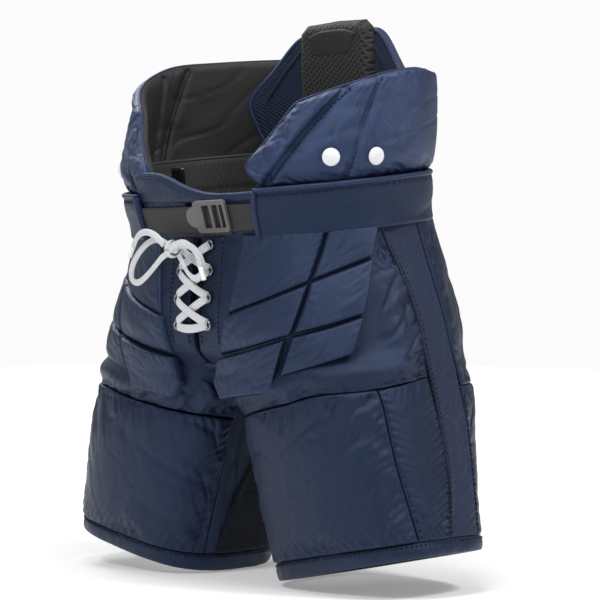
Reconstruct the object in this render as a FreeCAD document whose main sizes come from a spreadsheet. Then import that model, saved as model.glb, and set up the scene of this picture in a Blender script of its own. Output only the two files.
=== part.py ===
import FreeCAD, Part
import Sketcher
import math
import os
from FreeCAD import Placement, Rotation, Vector

# Ice hockey goalkeeper's pants, standing on the hems of their two legs.
# Millimetres. +X is the wearer's left, -Y the front, +Z up. The origin lies on the
# floor, midway between the legs. A point of the cloth is named by its bearing in
# degrees (0 the front, 90 the wearer's left, 180 the back), its height, and how far
# it stands out of the outer cloth surface (negative is towards the wearer).

doc = FreeCAD.newDocument("goalie_pants")

# ---------------------------------------------------------------- driving sizes
SIZES = {
    # the trunk's cross-sections: height, half width, half depth, middle behind the origin
    "crotch_level": 231, "crotch_half_width": 220, "crotch_half_depth": 136, "crotch_shift": 13,
    "hip_level": 300, "hip_half_width": 206, "hip_half_depth": 150, "hip_shift": 17,
    "waist_level": 390, "waist_half_width": 183, "waist_half_depth": 141, "waist_shift": 13,
    "belt_level": 430, "belt_half_width": 181, "belt_half_depth": 141, "belt_shift": 1,
    "wing_level": 490, "wing_half_width": 194, "wing_half_depth": 143, "wing_shift": -7,
    "rim_level": 580, "rim_half_width": 198, "rim_half_depth": 144, "rim_shift": -11,
    "trunk_tilt": 0.125, "tilt_level": 405,
    # the legs: the inner and outer faces' distance from the middle
    "leg_top_inner": 6, "leg_top_outer": 223, "leg_top_half_depth": 132, "leg_top_shift": 13,
    "hem_inner": 56, "hem_outer": 268, "hem_half_depth": 90, "hem_shift": -7,
    "hem_rise": 0.205, "hem_height": 16,
    # layers
    "cloth": 6, "leg_wall": 8, "hip_pad": 9, "waist_band": 7, "guard": 3, "gap": 0.4, "layer_gap": 0.5,
    "chevron_in": 3, "chevron_out": 14,
    # belt and its fittings
    "belt_low": 402, "belt_width": 30, "webbing": 1.4,
    "sleeve_low": 393, "sleeve_high": 446,
    "lock_length": 44, "lock_height": 36, "lock_thick": 4, "lock_bar": 5, "lock_tab": 12,
    "clip_length": 20, "clip_height": 28, "clip_thick": 4, "clip_bar": 4,
    # suspender buttons
    "button_radius": 9.5, "button_cap": 3.2, "button_neck_radius": 4, "button_neck": 2.4,
    # lace
    "lace_width": 9, "lace_thick": 2, "eyelet_radius": 4.6, "eyelet_wire": 1.3,
    "knot_radius": 9.5, "aglet_radius": 2.6, "aglet_length": 15,
}

sheet = doc.addObject("Spreadsheet::Sheet", "Sizes")
for row, (word, value) in enumerate(SIZES.items(), start=1):
    sheet.set("A%d" % row, word)
    sheet.set("B%d" % row, str(value))
    sheet.setAlias("B%d" % row, word)
doc.recompute()


def size(word):
    """A driving size, read from the spreadsheet."""
    return float(sheet.get(word))


# ---------------------------------------------------------------- cloth surfaces
def between(table, place):
    """Values at a place along rows of (place, values...), on a curve with no corners."""
    if place <= table[0][0]:
        return list(table[0][1:])
    if place >= table[-1][0]:
        return list(table[-1][1:])
    step = max(i for i in range(len(table) - 1) if table[i][0] <= place)
    low, high = table[step], table[step + 1]
    before, after = table[max(step - 1, 0)], table[min(step + 2, len(table) - 1)]
    span = high[0] - low[0]
    part = (place - low[0]) / span
    values = []
    for k in range(1, len(low)):
        leave = (high[k] - before[k]) / (high[0] - before[0]) * span
        arrive = (after[k] - low[k]) / (after[0] - low[0]) * span
        values.append(
            (2 * part**3 - 3 * part**2 + 1) * low[k] + (part**3 - 2 * part**2 + part) * leave
            + (3 * part**2 - 2 * part**3) * high[k] + (part**3 - part**2) * arrive
        )
    return values


def level(name, squareness):
    """A trunk station: its height, half width, half depth, shift and how square it is."""
    words = ("_level", "_half_width", "_half_depth", "_shift")
    return tuple(size(name + word) for word in words) + (squareness,)


TRUNK = [
    level("crotch", 3.0), level("hip", 2.6), level("waist", 2.3),
    level("belt", 2.25), level("wing", 2.2), level("rim", 2.2),
]
LEG = [
    (0, size("hem_inner"), size("hem_outer"), size("hem_half_depth"), size("hem_shift")),
    (size("crotch_level"), size("leg_top_inner"), size("leg_top_outer"),
     size("leg_top_half_depth"), size("leg_top_shift")),
]
LEG_SQUARENESS = 3.0


def reach(bearing, half_width, half_depth, squareness):
    """X and Y of a rounded oblong's edge at a bearing."""
    sine = math.sin(math.radians(bearing))
    cosine = math.cos(math.radians(bearing))
    wide = abs(sine / half_width) ** squareness
    deep = abs(cosine / half_depth) ** squareness
    radius = (wide + deep) ** (-1 / squareness)
    return radius * sine, -radius * cosine


def trunk(bearing, height, out):
    """A point on the trunk, whose upper sections tip forward and down."""
    half_width, half_depth, shift, squareness = between(TRUNK, height)
    x, y = reach(bearing, half_width + out, half_depth + out, squareness)
    y += shift
    lowest = size("crotch_level")
    share = (height - lowest) / (size("tilt_level") - lowest)
    lean = size("trunk_tilt") * min(1, max(0, share))
    return Vector(x, y, height + lean * y)


def left_leg(bearing, height, out):
    """A point on the wearer's left leg, whose hem rises towards the outside."""
    inner, outer, half_depth, shift = between(LEG, height)
    x, y = reach(bearing, (outer - inner) / 2 + out, half_depth + out, LEG_SQUARENESS)
    y += shift
    rise = size("hem_rise") * max(0, 1 - height / 200)
    from_inner = x + (outer - inner) / 2
    return Vector(x + (outer + inner) / 2, y, height + rise * max(from_inner, -out))


def mirrored(surface):
    """The same surface on the wearer's right, with its bearings the other way."""
    def other(bearing, height, out):
        point = surface(bearing, height, out)
        return Vector(-point.x, point.y, point.z)
    return other


TRUNKS = {"left": trunk, "right": mirrored(trunk)}
LEGS = {"left": left_leg, "right": mirrored(left_leg)}


# ---------------------------------------------------------------- solids of cloth
def along(row, share):
    """The (bearing, height) at a share of the way along a row of them."""
    return between([(i / (len(row) - 1), *point) for i, point in enumerate(row)], share)


def skin(surface, rows, out, across, up):
    """A smooth face at one depth, over rows of points from the bottom to the top."""
    columns = []
    for i in range(across + 1):
        columns.append([along(row, i / across) for row in rows])
    grid = []
    for j in range(up + 1):
        grid.append([surface(*along(column, j / up), out) for column in columns])
    face = Part.BSplineSurface()
    face.interpolate(grid)
    return face


def panel(surface, rows, inner, outer, across=10, up=6):
    """A closed panel of cloth or foam between two depths of a surface."""
    back = skin(surface, rows, inner, across, up)
    front = skin(surface, rows, outer, across, up)
    faces = [back.toShape(), front.toShape()]
    u0, u1, v0, v1 = front.bounds()
    for end in (u0, u1):
        faces.append(Part.makeRuledSurface(back.uIso(end).toShape(), front.uIso(end).toShape()))
    for end in (v0, v1):
        faces.append(Part.makeRuledSurface(back.vIso(end).toShape(), front.vIso(end).toShape()))
    shell = Part.makeShell(faces)
    shell.sewShape()
    solid = Part.makeSolid(shell)
    if solid.Volume < 0:
        solid.reverse()
    return solid


def ring(surface, low, high, inner, outer):
    """A closed band round a leg between two heights."""
    def tube(out):
        loops = []
        for height in (low, (low + high) / 2, high):
            points = [surface(bearing, height, out) for bearing in range(0, 360, 10)]
            curve = Part.BSplineCurve()
            curve.interpolate(Points=points, PeriodicFlag=True)
            loops.append(Part.Wire([curve.toShape()]))
        return Part.makeLoft(loops, True)
    return tube(outer).cut(tube(inner))


def strip(surface, start, end, width, inner, outer):
    """A flat lace lying on a surface from one (bearing, height) to another."""
    a = surface(start[0], start[1], 0)
    b = surface(end[0], end[1], 0)
    run = math.hypot((b - a).x, (b - a).z)
    rise = width / 2 * (b - a).x / run
    across = width / 2 * (b - a).z / run
    turn = math.degrees(across / size("waist_half_depth"))
    side_a = [(start[0] + turn, start[1] - rise), (end[0] + turn, end[1] - rise)]
    side_b = [(start[0] - turn, start[1] + rise), (end[0] - turn, end[1] + rise)]
    return panel(surface, [side_a, side_b], inner, outer, across=4, up=2)


def piece(label, shape):
    """One sub-part of the document, with the shape given."""
    feature = doc.addObject("Part::Feature", label)
    feature.Label = label
    feature.Shape = shape
    feature.Placement = Placement()
    PIECES.append(feature)
    return feature


PIECES = []

# ---------------------------------------------------------------- trunk shells
FLY_EDGE = 2.6
FRONT_END = 78
SIDE_END = 130
SEAM = 0.15
SHELL_TOP = 440
BAND_OUT = -17.5


def trunk_shells():
    cloth = -size("cloth")
    for side, surface in TRUNKS.items():
        low = [(FLY_EDGE, 262), (30, 262), (60, 258), (FRONT_END, 240)]
        high = [(FLY_EDGE, SHELL_TOP), (FRONT_END, SHELL_TOP)]
        piece("hip_front_" + side, panel(surface, [low, high], cloth, 0, 12, 16))
        low = [(FRONT_END + SEAM, 240), (105, 234), (SIDE_END, 238)]
        high = [(FRONT_END + SEAM, SHELL_TOP), (SIDE_END, SHELL_TOP)]
        piece("hip_side_" + side, panel(surface, [low, high], cloth, 0, 8, 16))
    low = [(SIDE_END + SEAM, 240), (180, 240), (360 - SIDE_END - SEAM, 240)]
    high = [(SIDE_END + SEAM, SHELL_TOP), (180, SHELL_TOP), (360 - SIDE_END - SEAM, SHELL_TOP)]
    piece("seat_panel", panel(trunk, [low, high], cloth, 0, 14, 16))


def trunk_padding():
    """The foam sewn behind the hips and the tailbone, and the soft band round the waist."""
    back = -size("cloth") - size("layer_gap")
    front = back - size("hip_pad")
    for side, surface in TRUNKS.items():
        rows = [[(20, 270), (70, 262)], [(26, 392), (70, 392)]]
        piece("hip_foam_" + side, panel(surface, rows, front, back, 8, 6))
        rows = [[(62, 402), (179.8, 402)], [(62, 478), (179.8, 478)]]
        piece("waist_band_" + side, panel(surface, rows, BAND_OUT - size("waist_band"), BAND_OUT, 12, 6))
    rows = [[(158, 262), (202, 262)], [(158, 392), (202, 392)]]
    piece("tailbone_pad", panel(trunk, rows, front - 3, back, 8, 6))
    rows = [[(-26, 443), (-14, 443), (0, 441), (26, 441)], [(-26, 466), (-14, 462), (0, 447), (26, 447)]]
    piece("front_binding", panel(trunk, rows, -size("cloth"), 0.5, 10, 2))


def crotch_gusset():
    """A strap of strong cloth from the foot of the fly, between the legs, to the seat."""
    thick = 4
    half = 25
    path = [(-130, 256), (-121, 238), (-95, 229), (-40, 225), (10, 224), (70, 225), (123, 230), (145, 236)]
    lower = [Vector(-half, y, z) for y, z in path]
    upper = [Vector(-half, y, z + thick) for y, z in path]
    edges = []
    for points in (lower, upper):
        curve = Part.BSplineCurve()
        curve.interpolate(Points=points)
        edges.append(curve.toShape())
    ends = [Part.makeLine(lower[0], upper[0]), Part.makeLine(lower[-1], upper[-1])]
    outline = Part.Wire(Part.sortEdges(edges + ends)[0])
    piece("crotch_gusset", Part.Face(outline).extrude(Vector(2 * half, 0, 0)))


# ---------------------------------------------------------------- fly and lace
EYELET_BEARING = 8.6
EYELET_ROWS = (290, 323, 356, 387)
PLACKET_OUT = 3


def fly():
    for side, surface in TRUNKS.items():
        rows = [[(FLY_EDGE, 268), (14, 268)], [(FLY_EDGE, 395), (14, 395)]]
        piece("fly_placket_" + side, panel(surface, rows, size("gap"), PLACKET_OUT, 4, 6))
    back = -size("cloth") - size("layer_gap")
    rows = [[(-9, 262), (9, 262)], [(-9, 396), (9, 396)]]
    piece("fly_tongue", panel(trunk, rows, back - 2, back, 6, 6))


def upright(bearing, height, out):
    """The placement of a flat piece whose +Z is the trunk's outward direction there."""
    here = trunk(bearing, height, out)
    sideways = trunk(bearing + 1, height, out) - here
    up = trunk(bearing, height + 1, out) - here
    outward = sideways.cross(up)
    return Placement(here, Rotation(sideways, up, outward, "ZXY"))


def eyelets():
    rings = []
    for bearing in (-EYELET_BEARING, EYELET_BEARING):
        for height in EYELET_ROWS:
            wheel = Part.makeTorus(size("eyelet_radius"), size("eyelet_wire"))
            wheel.Placement = upright(bearing, height, PLACKET_OUT + size("eyelet_wire") + 2 * size("gap"))
            rings.append(wheel)
    piece("eyelets", Part.makeCompound(rings))


def lacing():
    """The lace between the eyelets: a bar across the foot, then crosses up the fly."""
    width = size("lace_width")
    base = PLACKET_OUT + 2 * size("eyelet_wire") + 4 * size("gap")
    thick = size("lace_thick")
    foot = EYELET_ROWS[0]
    runs = [strip(trunk, (-EYELET_BEARING, foot), (EYELET_BEARING, foot), width, base, base + thick)]
    for low, high in zip(EYELET_ROWS, EYELET_ROWS[1:]):
        start = (-EYELET_BEARING, low + width)
        end = (EYELET_BEARING, high - 2)
        runs.append(strip(trunk, start, end, width, base, base + thick))
        start = (EYELET_BEARING, low + width)
        end = (-EYELET_BEARING, high - 2)
        over = base + thick + size("gap")
        runs.append(strip(trunk, start, end, width, over, over + thick))
    piece("fly_lacing", Part.makeCompound(runs))


# Routes of the bow, from the knot outward: its two loops and its two tails.
KNOT = Vector(-14, -153, 368)
BOW = {
    "lace_loop_right": [
        (-23, -153, 373), (-36, -153, 380), (-54, -152, 377), (-73, -150, 365), (-88, -147, 349),
        (-88, -147, 334), (-74, -150, 330), (-58, -152, 338), (-42, -153, 350), (-31, -153, 360),
        (-23, -153, 363),
    ],
    "lace_loop_left": [
        (-5, -153, 371), (8, -153, 373), (22, -153, 366), (32, -153, 353), (32, -153, 340),
        (22, -153, 334), (10, -153, 340), (2, -153, 352), (-5, -153, 362),
    ],
    "lace_tail_right": [
        (-20, -161, 372), (-29, -163, 382), (-42, -163, 387), (-56, -161, 387), (-68, -158, 381),
        (-76, -155, 372),
    ],
    "lace_tail_left": [
        (-8, -164, 366), (0, -164, 372), (12, -164, 375), (25, -163, 370), (33, -162, 360),
        (37, -161, 348),
    ],
}
RADIUS_SHARE = 0.45


def rounded_route(points):
    """Straight runs joined by arcs that touch both runs, and the arcs' radii."""
    edges = []
    radii = []
    last = points[0]
    for before, corner, after in zip(points, points[1:], points[2:]):
        arrive = corner - before
        leave = after - corner
        turn = arrive.getAngle(leave)
        reach_back = RADIUS_SHARE * min(arrive.Length, leave.Length)
        radii.append(reach_back / math.tan(turn / 2))
        start = corner - Vector(arrive).normalize() * reach_back
        end = corner + Vector(leave).normalize() * reach_back
        bisector = (start + end) * 0.5 - corner
        depth = radii[-1] / math.cos(turn / 2) - radii[-1]
        middle = corner + Vector(bisector).normalize() * depth
        edges.append(Part.LineSegment(last, start).toShape())
        edges.append(Part.Arc(start, middle, end).toShape())
        last = end
    edges.append(Part.LineSegment(last, points[-1]).toShape())
    return Part.Wire(edges), radii


def bow():
    """The knot, with its flat loops and tails lying against the fly."""
    half_thick = size("lace_thick") / 2
    half_width = size("lace_width") / 2
    for label, route in BOW.items():
        path, radii = rounded_route([Vector(*point) for point in route])
        start = Vector(*route[0])
        forward = (Vector(*route[1]) - start).normalize()
        outward = Vector(0, -1, 0)
        across = forward.cross(outward).normalize()
        corners = []
        for wide, deep in ((1, 1), (1, -1), (-1, -1), (-1, 1)):
            corners.append(start + across * wide * half_width + outward * deep * half_thick)
        section = Part.makePolygon(corners + corners[:1])
        sweep = Part.BRepOffsetAPI.MakePipeShell(path)
        sweep.setBiNormalMode(outward)
        sweep.add(section)
        sweep.build()
        sweep.makeSolid()
        lace = sweep.shape()
        flat = 4 * half_thick * half_width * path.Length
        print(label, "length %.1f" % path.Length, "volume ratio %.3f" % (lace.Volume / flat),
              "radii", ["%.0f" % radius for radius in radii])
        piece(label, lace)
    knot = doc.addObject("Part::Ellipsoid", "lace_knot")
    knot.Label = "lace_knot"
    knot.setExpression("Radius1", "Sizes.knot_radius * 0.85")
    knot.setExpression("Radius2", "Sizes.knot_radius")
    knot.setExpression("Radius3", "Sizes.knot_radius * 0.9")
    knot.Placement = Placement(KNOT, Rotation(Vector(1, 0, 0), 0))
    PIECES.append(knot)
    tips = []
    for side in TRUNKS:
        route = BOW["lace_tail_" + side]
        end = Vector(*route[-1])
        forward = (end - Vector(*route[-2])).normalize()
        tip = doc.addObject("Part::Cylinder", "aglet_" + side)
        tip.setExpression("Radius", "Sizes.aglet_radius")
        tip.setExpression("Height", "Sizes.aglet_length")
        tip.Placement = Placement(end + forward * size("gap"), Rotation(Vector(0, 0, 1), forward))
        tips.append(tip)
    aglets = doc.addObject("Part::Compound", "aglets")
    aglets.Label = "aglets"
    aglets.Links = tips
    PIECES.append(aglets)


# ---------------------------------------------------------------- hip chevrons
CHEVRON_BLOCKS = (
    # bottom row, top row and how far each block stands in from the thickest
    ([(19.5, 306), (48.5, 342)], [(25.5, 388), (55.5, 388)], 3),
    ([(51.5, 345), (70.5, 367)], [(58.5, 388), (75, 388)], 3),
    ([(15.5, 256), (42.5, 280)], [(18, 297), (48.5, 334)], 1),
    ([(45.5, 283), (65, 303)], [(51.5, 338), (70.5, 359)], 1),
    ([(41.5, 231), (61, 257)], [(44.5, 271), (64.5, 295)], 0),
)
FLAP = ([(12, 212), (18, 196), (38, 218)], [(14, 248), (28, 259), (41.5, 271)])


def chevrons():
    """Foam blocks in slanting rows over each hip, with grooves between them."""
    low, high = size("chevron_in"), size("chevron_out")
    for side, surface in TRUNKS.items():
        blocks = []
        for bottom, top, thinner in CHEVRON_BLOCKS:
            inner = size("gap") if thinner else low
            blocks.append(panel(surface, [bottom, top], inner, high - thinner, 6, 4))
        piece("hip_chevrons_" + side, Part.makeCompound(blocks))
        piece("hip_flap_" + side, panel(surface, FLAP, low, high, 8, 4))


# ---------------------------------------------------------------- belt
SLEEVE_START = 33
LOCK_BEARING = 14
LOCK_OUT = 5.2
LOCK_RISE = 4


def belt():
    """The padded sleeves round the waist and the webbing that runs in them."""
    width = size("belt_width")
    low = size("belt_low")
    tail_out = 0.5
    web_out = tail_out + size("webbing") + size("layer_gap")
    sleeve_out = web_out + size("webbing") + size("layer_gap")
    for side, surface in TRUNKS.items():
        bottom = [(SLEEVE_START, size("sleeve_low")), (179.8, size("sleeve_low"))]
        top = [(SLEEVE_START, size("sleeve_high")), (179.8, size("sleeve_high"))]
        piece("belt_sleeve_" + side, panel(surface, [bottom, top], sleeve_out, sleeve_out + 5, 16, 5))
    split = LOCK_BEARING - 5
    rows = [[(-44, low), (split - 0.6, low)], [(-44, low + width), (split - 0.6, low + width)]]
    piece("belt_webbing_right", panel(trunk, rows, web_out, web_out + size("webbing"), 10, 4))
    rows = [[(split, low), (44, low)], [(split, low + width), (44, low + width)]]
    strap = panel(trunk, rows, web_out, web_out + size("webbing"), 10, 4)
    start, end = split - 24, split + 12
    rows = [[(start, low - 4), (end, low - 4)], [(start, low + width - 4), (end, low + width - 4)]]
    tail = panel(trunk, rows, tail_out, tail_out + size("webbing"), 8, 4)
    piece("belt_webbing_left", Part.makeCompound([strap, tail]))


def named_plane(body, role):
    return next(plane for plane in body.Origin.OriginFeatures if plane.Role == role)


def box_sketch(body, name, half_long, half_high, centre=0.0, bound=None):
    """A rectangle on the body's XY plane, centred on X = centre."""
    sketch = body.newObject("Sketcher::SketchObject", name)
    sketch.AttachmentSupport = [(named_plane(body, "XY_Plane"), "")]
    sketch.MapMode = "FlatFace"
    corners = [
        Vector(centre - half_long, -half_high, 0), Vector(centre + half_long, -half_high, 0),
        Vector(centre + half_long, half_high, 0), Vector(centre - half_long, half_high, 0),
    ]
    for a, b in zip(corners, corners[1:] + corners[:1]):
        sketch.addGeometry(Part.LineSegment(a, b), False)
    for line in range(4):
        sketch.addConstraint(Sketcher.Constraint("Coincident", line, 2, (line + 1) % 4, 1))
    sketch.addConstraint(Sketcher.Constraint("Horizontal", 0))
    sketch.addConstraint(Sketcher.Constraint("Horizontal", 2))
    sketch.addConstraint(Sketcher.Constraint("Vertical", 1))
    sketch.addConstraint(Sketcher.Constraint("Vertical", 3))
    sketch.addConstraint(Sketcher.Constraint("DistanceX", 0, 1, 0, 2, 2 * half_long))
    wide = sketch.ConstraintCount - 1
    sketch.addConstraint(Sketcher.Constraint("DistanceY", 1, 1, 1, 2, 2 * half_high))
    tall = sketch.ConstraintCount - 1
    sketch.addConstraint(Sketcher.Constraint("DistanceX", -1, 1, 0, 1, centre - half_long))
    sketch.addConstraint(Sketcher.Constraint("DistanceY", -1, 1, 0, 1, -half_high))
    if bound:
        sketch.setExpression("Constraints[%d]" % wide, bound[0])
        sketch.setExpression("Constraints[%d]" % tall, bound[1])
        sketch.setExpression("Constraints[%d]" % (tall + 1), "-(%s) / 2" % bound[0])
        sketch.setExpression("Constraints[%d]" % (tall + 2), "-(%s) / 2" % bound[1])
    return sketch


def disc_sketch(body, name, radius, centre):
    """A circle on the body's XY plane, centred on X = centre."""
    sketch = body.newObject("Sketcher::SketchObject", name)
    sketch.AttachmentSupport = [(named_plane(body, "XY_Plane"), "")]
    sketch.MapMode = "FlatFace"
    sketch.addGeometry(Part.Circle(Vector(centre, 0, 0), Vector(0, 0, 1), radius), False)
    sketch.addConstraint(Sketcher.Constraint("Radius", 0, radius))
    sketch.addConstraint(Sketcher.Constraint("DistanceX", -1, 1, 0, 3, centre))
    sketch.addConstraint(Sketcher.Constraint("PointOnObject", 0, 3, -1))
    return sketch


def slotted_plate(label, word, slots, placement, tab=0):
    """A moulded fitting: a plate with slots for webbing, softened corners and a thumb tab."""
    body = doc.addObject("PartDesign::Body", label)
    body.Label = label
    length, height = size(word + "_length"), size(word + "_height")
    bound = ("Sizes.%s_length" % word, "Sizes.%s_height" % word)
    plate = body.newObject("PartDesign::Pad", label + "_plate")
    plate.Profile = box_sketch(body, label + "_outline", length / 2, height / 2, 0.0, bound)
    plate.setExpression("Length", "Sizes.%s_thick" % word)
    if tab:
        thumb = body.newObject("PartDesign::Pad", label + "_tab")
        thumb.Profile = disc_sketch(body, label + "_tab_outline", tab, -length / 2)
        thumb.setExpression("Length", "Sizes.%s_thick" % word)
    doc.recompute()
    before = body.Shape.Volume
    for number, (centre, half_long) in enumerate(slots):
        cut = body.newObject("PartDesign::Pocket", "%s_slot%d" % (label, number))
        half_high = height / 2 - size(word + "_bar")
        cut.Profile = box_sketch(body, "%s_slot_outline%d" % (label, number), half_long, half_high, centre)
        cut.Type = "ThroughAll"
        cut.Reversed = True
        doc.recompute()
        if body.Shape.Volume >= before:
            raise RuntimeError("slot %d of %s cuts nothing" % (number, label))
        before = body.Shape.Volume
    slotted = body.Tip
    upright_edges = []
    for number, edge in enumerate(slotted.Shape.Edges, start=1):
        ends = [vertex.Point for vertex in edge.Vertexes]
        at_end = all(abs(abs(end.x) - length / 2) < 0.01 for end in ends)
        at_corner = at_end and all(abs(abs(end.y) - height / 2) < 0.01 for end in ends)
        if at_corner and abs(ends[0].z - ends[-1].z) > size(word + "_thick") / 2:
            upright_edges.append("Edge%d" % number)
    corners = body.newObject("PartDesign::Fillet", label + "_corners")
    corners.Base = (slotted, upright_edges)
    corners.Radius = size(word + "_bar") * 0.8
    body.Placement = placement
    doc.recompute()
    PIECES.append(body)
    return body


def fittings():
    """The ladder lock on the front webbing and the small clip inside the waist."""
    low, width = size("belt_low"), size("belt_width")
    place = upright(LOCK_BEARING, low + width / 2 + LOCK_RISE, LOCK_OUT)
    slots = [(-5.5, 5), (7.5, 4), (16, 2.4)]
    slotted_plate("ladder_lock", "lock", slots, place, size("lock_tab"))
    rows = [[(-74, 450), (-27, 450)], [(-74, 464), (-27, 464)]]
    back = BAND_OUT - size("waist_band") - 3 * size("layer_gap")
    piece("inner_strap", panel(trunk, rows, back - size("webbing"), back, 8, 2))
    place = upright(-22, 461, back - size("clip_thick"))
    slotted_plate("inner_clip", "clip", [(-4.4, 2.8), (4.4, 2.8)], place)


# ---------------------------------------------------------------- wings
WING_BACK = 166
WING_ROWS = [
    [(37, 449), (69, 449), (101, 449), (134, 449), (WING_BACK, 449)],
    [(31.5, 471), (62, 475), (96, 478), (130, 481), (WING_BACK, 482)],
    [(42, 502), (66, 509), (97, 515), (130, 520), (WING_BACK, 522)],
    [(53.5, 536), (73, 554), (99, 570), (130, 573), (WING_BACK, 570)],
]
BUTTONS = ((62.5, 475), (77.5, 472))


def wings():
    """The padded kidney wings above the belt, each a cover, its foam and its lining."""
    for side, surface in TRUNKS.items():
        piece("wing_shell_" + side, panel(surface, WING_ROWS, -2, 0, 16, 8))
        piece("wing_foam_" + side, panel(surface, WING_ROWS, -12, -2 - size("gap"), 16, 8))
        piece("wing_lining_" + side, panel(surface, WING_ROWS, -14, -12 - size("gap"), 16, 8))
        buttons = []
        for bearing, height in BUTTONS:
            neck_height = size("button_neck") + 0.6
            neck = Part.makeCylinder(size("button_neck_radius"), neck_height)
            cap = Part.makeCylinder(size("button_radius"), size("button_cap"), Vector(0, 0, size("button_neck")))
            button = neck.fuse(cap).removeSplitter()
            button.Placement = upright(bearing, height, 2 * size("gap"))
            if side == "right":
                button = button.mirror(Vector(0, 0, 0), Vector(1, 0, 0))
            buttons.append(button)
        piece("suspender_buttons_" + side, Part.makeCompound(buttons))


# ---------------------------------------------------------------- spine pad
SPINE_ROWS = [
    [(180 - 46, 482), (180, 482), (180 + 46, 482)],
    [(180 - 53, 545), (180, 545), (180 + 53, 545)],
    [(180 - 28, 604), (180, 626), (180 + 28, 604)],
]


def spine_pad():
    """The floating back pad: a stiff bound plate, its foam and the mesh pillow on it."""
    piece("spine_plate", panel(trunk, SPINE_ROWS, -21, -18, 12, 9))
    narrow = [[(180 + (bearing - 180) * 0.93, height) for bearing, height in row] for row in SPINE_ROWS]
    piece("spine_foam", panel(trunk, narrow, -29, -21 - size("gap"), 12, 9))
    rows = [[(180 - 25, 488), (180, 488), (180 + 25, 488)], [(180 - 25, 622), (180, 631), (180 + 25, 622)]]
    piece("spine_pillow", panel(trunk, rows, -42, -29 - size("gap"), 8, 6))
    rows = [[(180 - 17, 586), (180 + 17, 586)], [(180 - 20, 614), (180 + 20, 614)]]
    piece("spine_patch", panel(trunk, rows, -43.6, -42 - size("gap"), 6, 4))


# ---------------------------------------------------------------- legs
THIGH_INNER = -60
THIGH_OUTER = 52
MESH_FRONT = 86
MESH_BACK = 122
GUSSET_BACK = 215


def legs():
    """Each leg's padded panels, the plate in the thigh pad and the band round the hem."""
    wall = -size("leg_wall")
    low = size("hem_height") + size("gap")
    for side, surface in LEGS.items():
        foot = [(THIGH_INNER + SEAM, low), (THIGH_OUTER - SEAM, low)]
        rows = [foot, [(THIGH_INNER + SEAM, 180), (-20, 190), (15, 202), (THIGH_OUTER - SEAM, 208)]]
        piece("thigh_pad_" + side, panel(surface, rows, wall, 3, 12, 8))
        rows = [[(-44, 34), (44, 34)], [(-44, 168), (44, 180)]]
        behind = wall - size("layer_gap")
        piece("thigh_guard_" + side, panel(surface, rows, behind - size("guard"), behind, 8, 6))
        seams = (THIGH_OUTER, MESH_FRONT, MESH_BACK, GUSSET_BACK, 360 + THIGH_INNER)
        labels = ("side_panel_", "side_mesh_", "back_panel_", "inner_gusset_")
        tops = ((208, 212), (212, 213), (213, 208), (208, 182))
        for label, first, last, top in zip(labels, seams, seams[1:], tops):
            first, last = first + SEAM, last - SEAM
            rows = [[(first, low), (last, low)], [(first, top[0]), (last, top[1])]]
            piece(label + side, panel(surface, rows, wall, 0, 10, 8))
        piece("hem_band_" + side, ring(surface, 0, size("hem_height"), wall, 1))


# ---------------------------------------------------------------- build and write
trunk_shells()
trunk_padding()
crotch_gusset()
fly()
eyelets()
lacing()
bow()
chevrons()
belt()
fittings()
wings()
spine_pad()
legs()
doc.recompute()

for thing in doc.Objects:
    if "Invalid" in thing.State or "Error" in thing.State:
        raise RuntimeError("%s did not recompute" % thing.Label)
for node in PIECES:
    if node.Shape.isNull() or not node.Shape.isValid() or node.Shape.Volume <= 0:
        raise RuntimeError("%s is not a sound solid" % node.Label)

print(len(PIECES), "pieces")
os.makedirs("parts", exist_ok=True)
for node in PIECES:
    node.Shape.exportStep("parts/%s.step" % node.Label)
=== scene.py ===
import math
import bpy
import numpy as np
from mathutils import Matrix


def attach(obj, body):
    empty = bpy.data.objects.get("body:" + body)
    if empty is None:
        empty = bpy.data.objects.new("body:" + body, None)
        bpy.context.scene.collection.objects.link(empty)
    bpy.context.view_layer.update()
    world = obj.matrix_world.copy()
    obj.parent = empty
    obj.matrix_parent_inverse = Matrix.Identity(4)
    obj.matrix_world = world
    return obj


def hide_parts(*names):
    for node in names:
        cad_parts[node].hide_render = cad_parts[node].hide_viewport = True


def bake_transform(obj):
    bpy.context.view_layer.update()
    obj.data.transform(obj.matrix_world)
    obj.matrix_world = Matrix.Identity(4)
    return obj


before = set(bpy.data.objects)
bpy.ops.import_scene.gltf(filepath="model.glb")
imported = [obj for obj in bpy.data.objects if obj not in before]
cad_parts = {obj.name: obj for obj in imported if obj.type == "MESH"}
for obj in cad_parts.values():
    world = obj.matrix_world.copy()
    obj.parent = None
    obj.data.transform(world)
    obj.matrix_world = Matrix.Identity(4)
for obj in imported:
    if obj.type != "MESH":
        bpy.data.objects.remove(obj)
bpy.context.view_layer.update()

# Ice hockey goalkeeper's pants. Metres; +X is the wearer's left, -Y the front, +Z up.
# A place on the cloth is a bearing in degrees (0 the front, 90 the wearer's left, 180 the
# back), a height, and how far it stands out of the outer cloth surface.

SIDES = {"left": 1, "right": -1}
# the spacing of the covers' mesh, of the smallest covers' and of the cloth simulation's
STEP = 0.0021
FINE_STEP = STEP * 0.7
SETTLE_STEP = 0.004

# ---------------------------------------------------------------- camera and light
TURN = math.radians(43)
DISTANCE, EYE_HEIGHT, ASIDE = 2.4, 0.312, 0.01725
VIEW_WIDTH, SENSOR = 0.69, 36.0
MIDDLE_Y = 0.011


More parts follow.
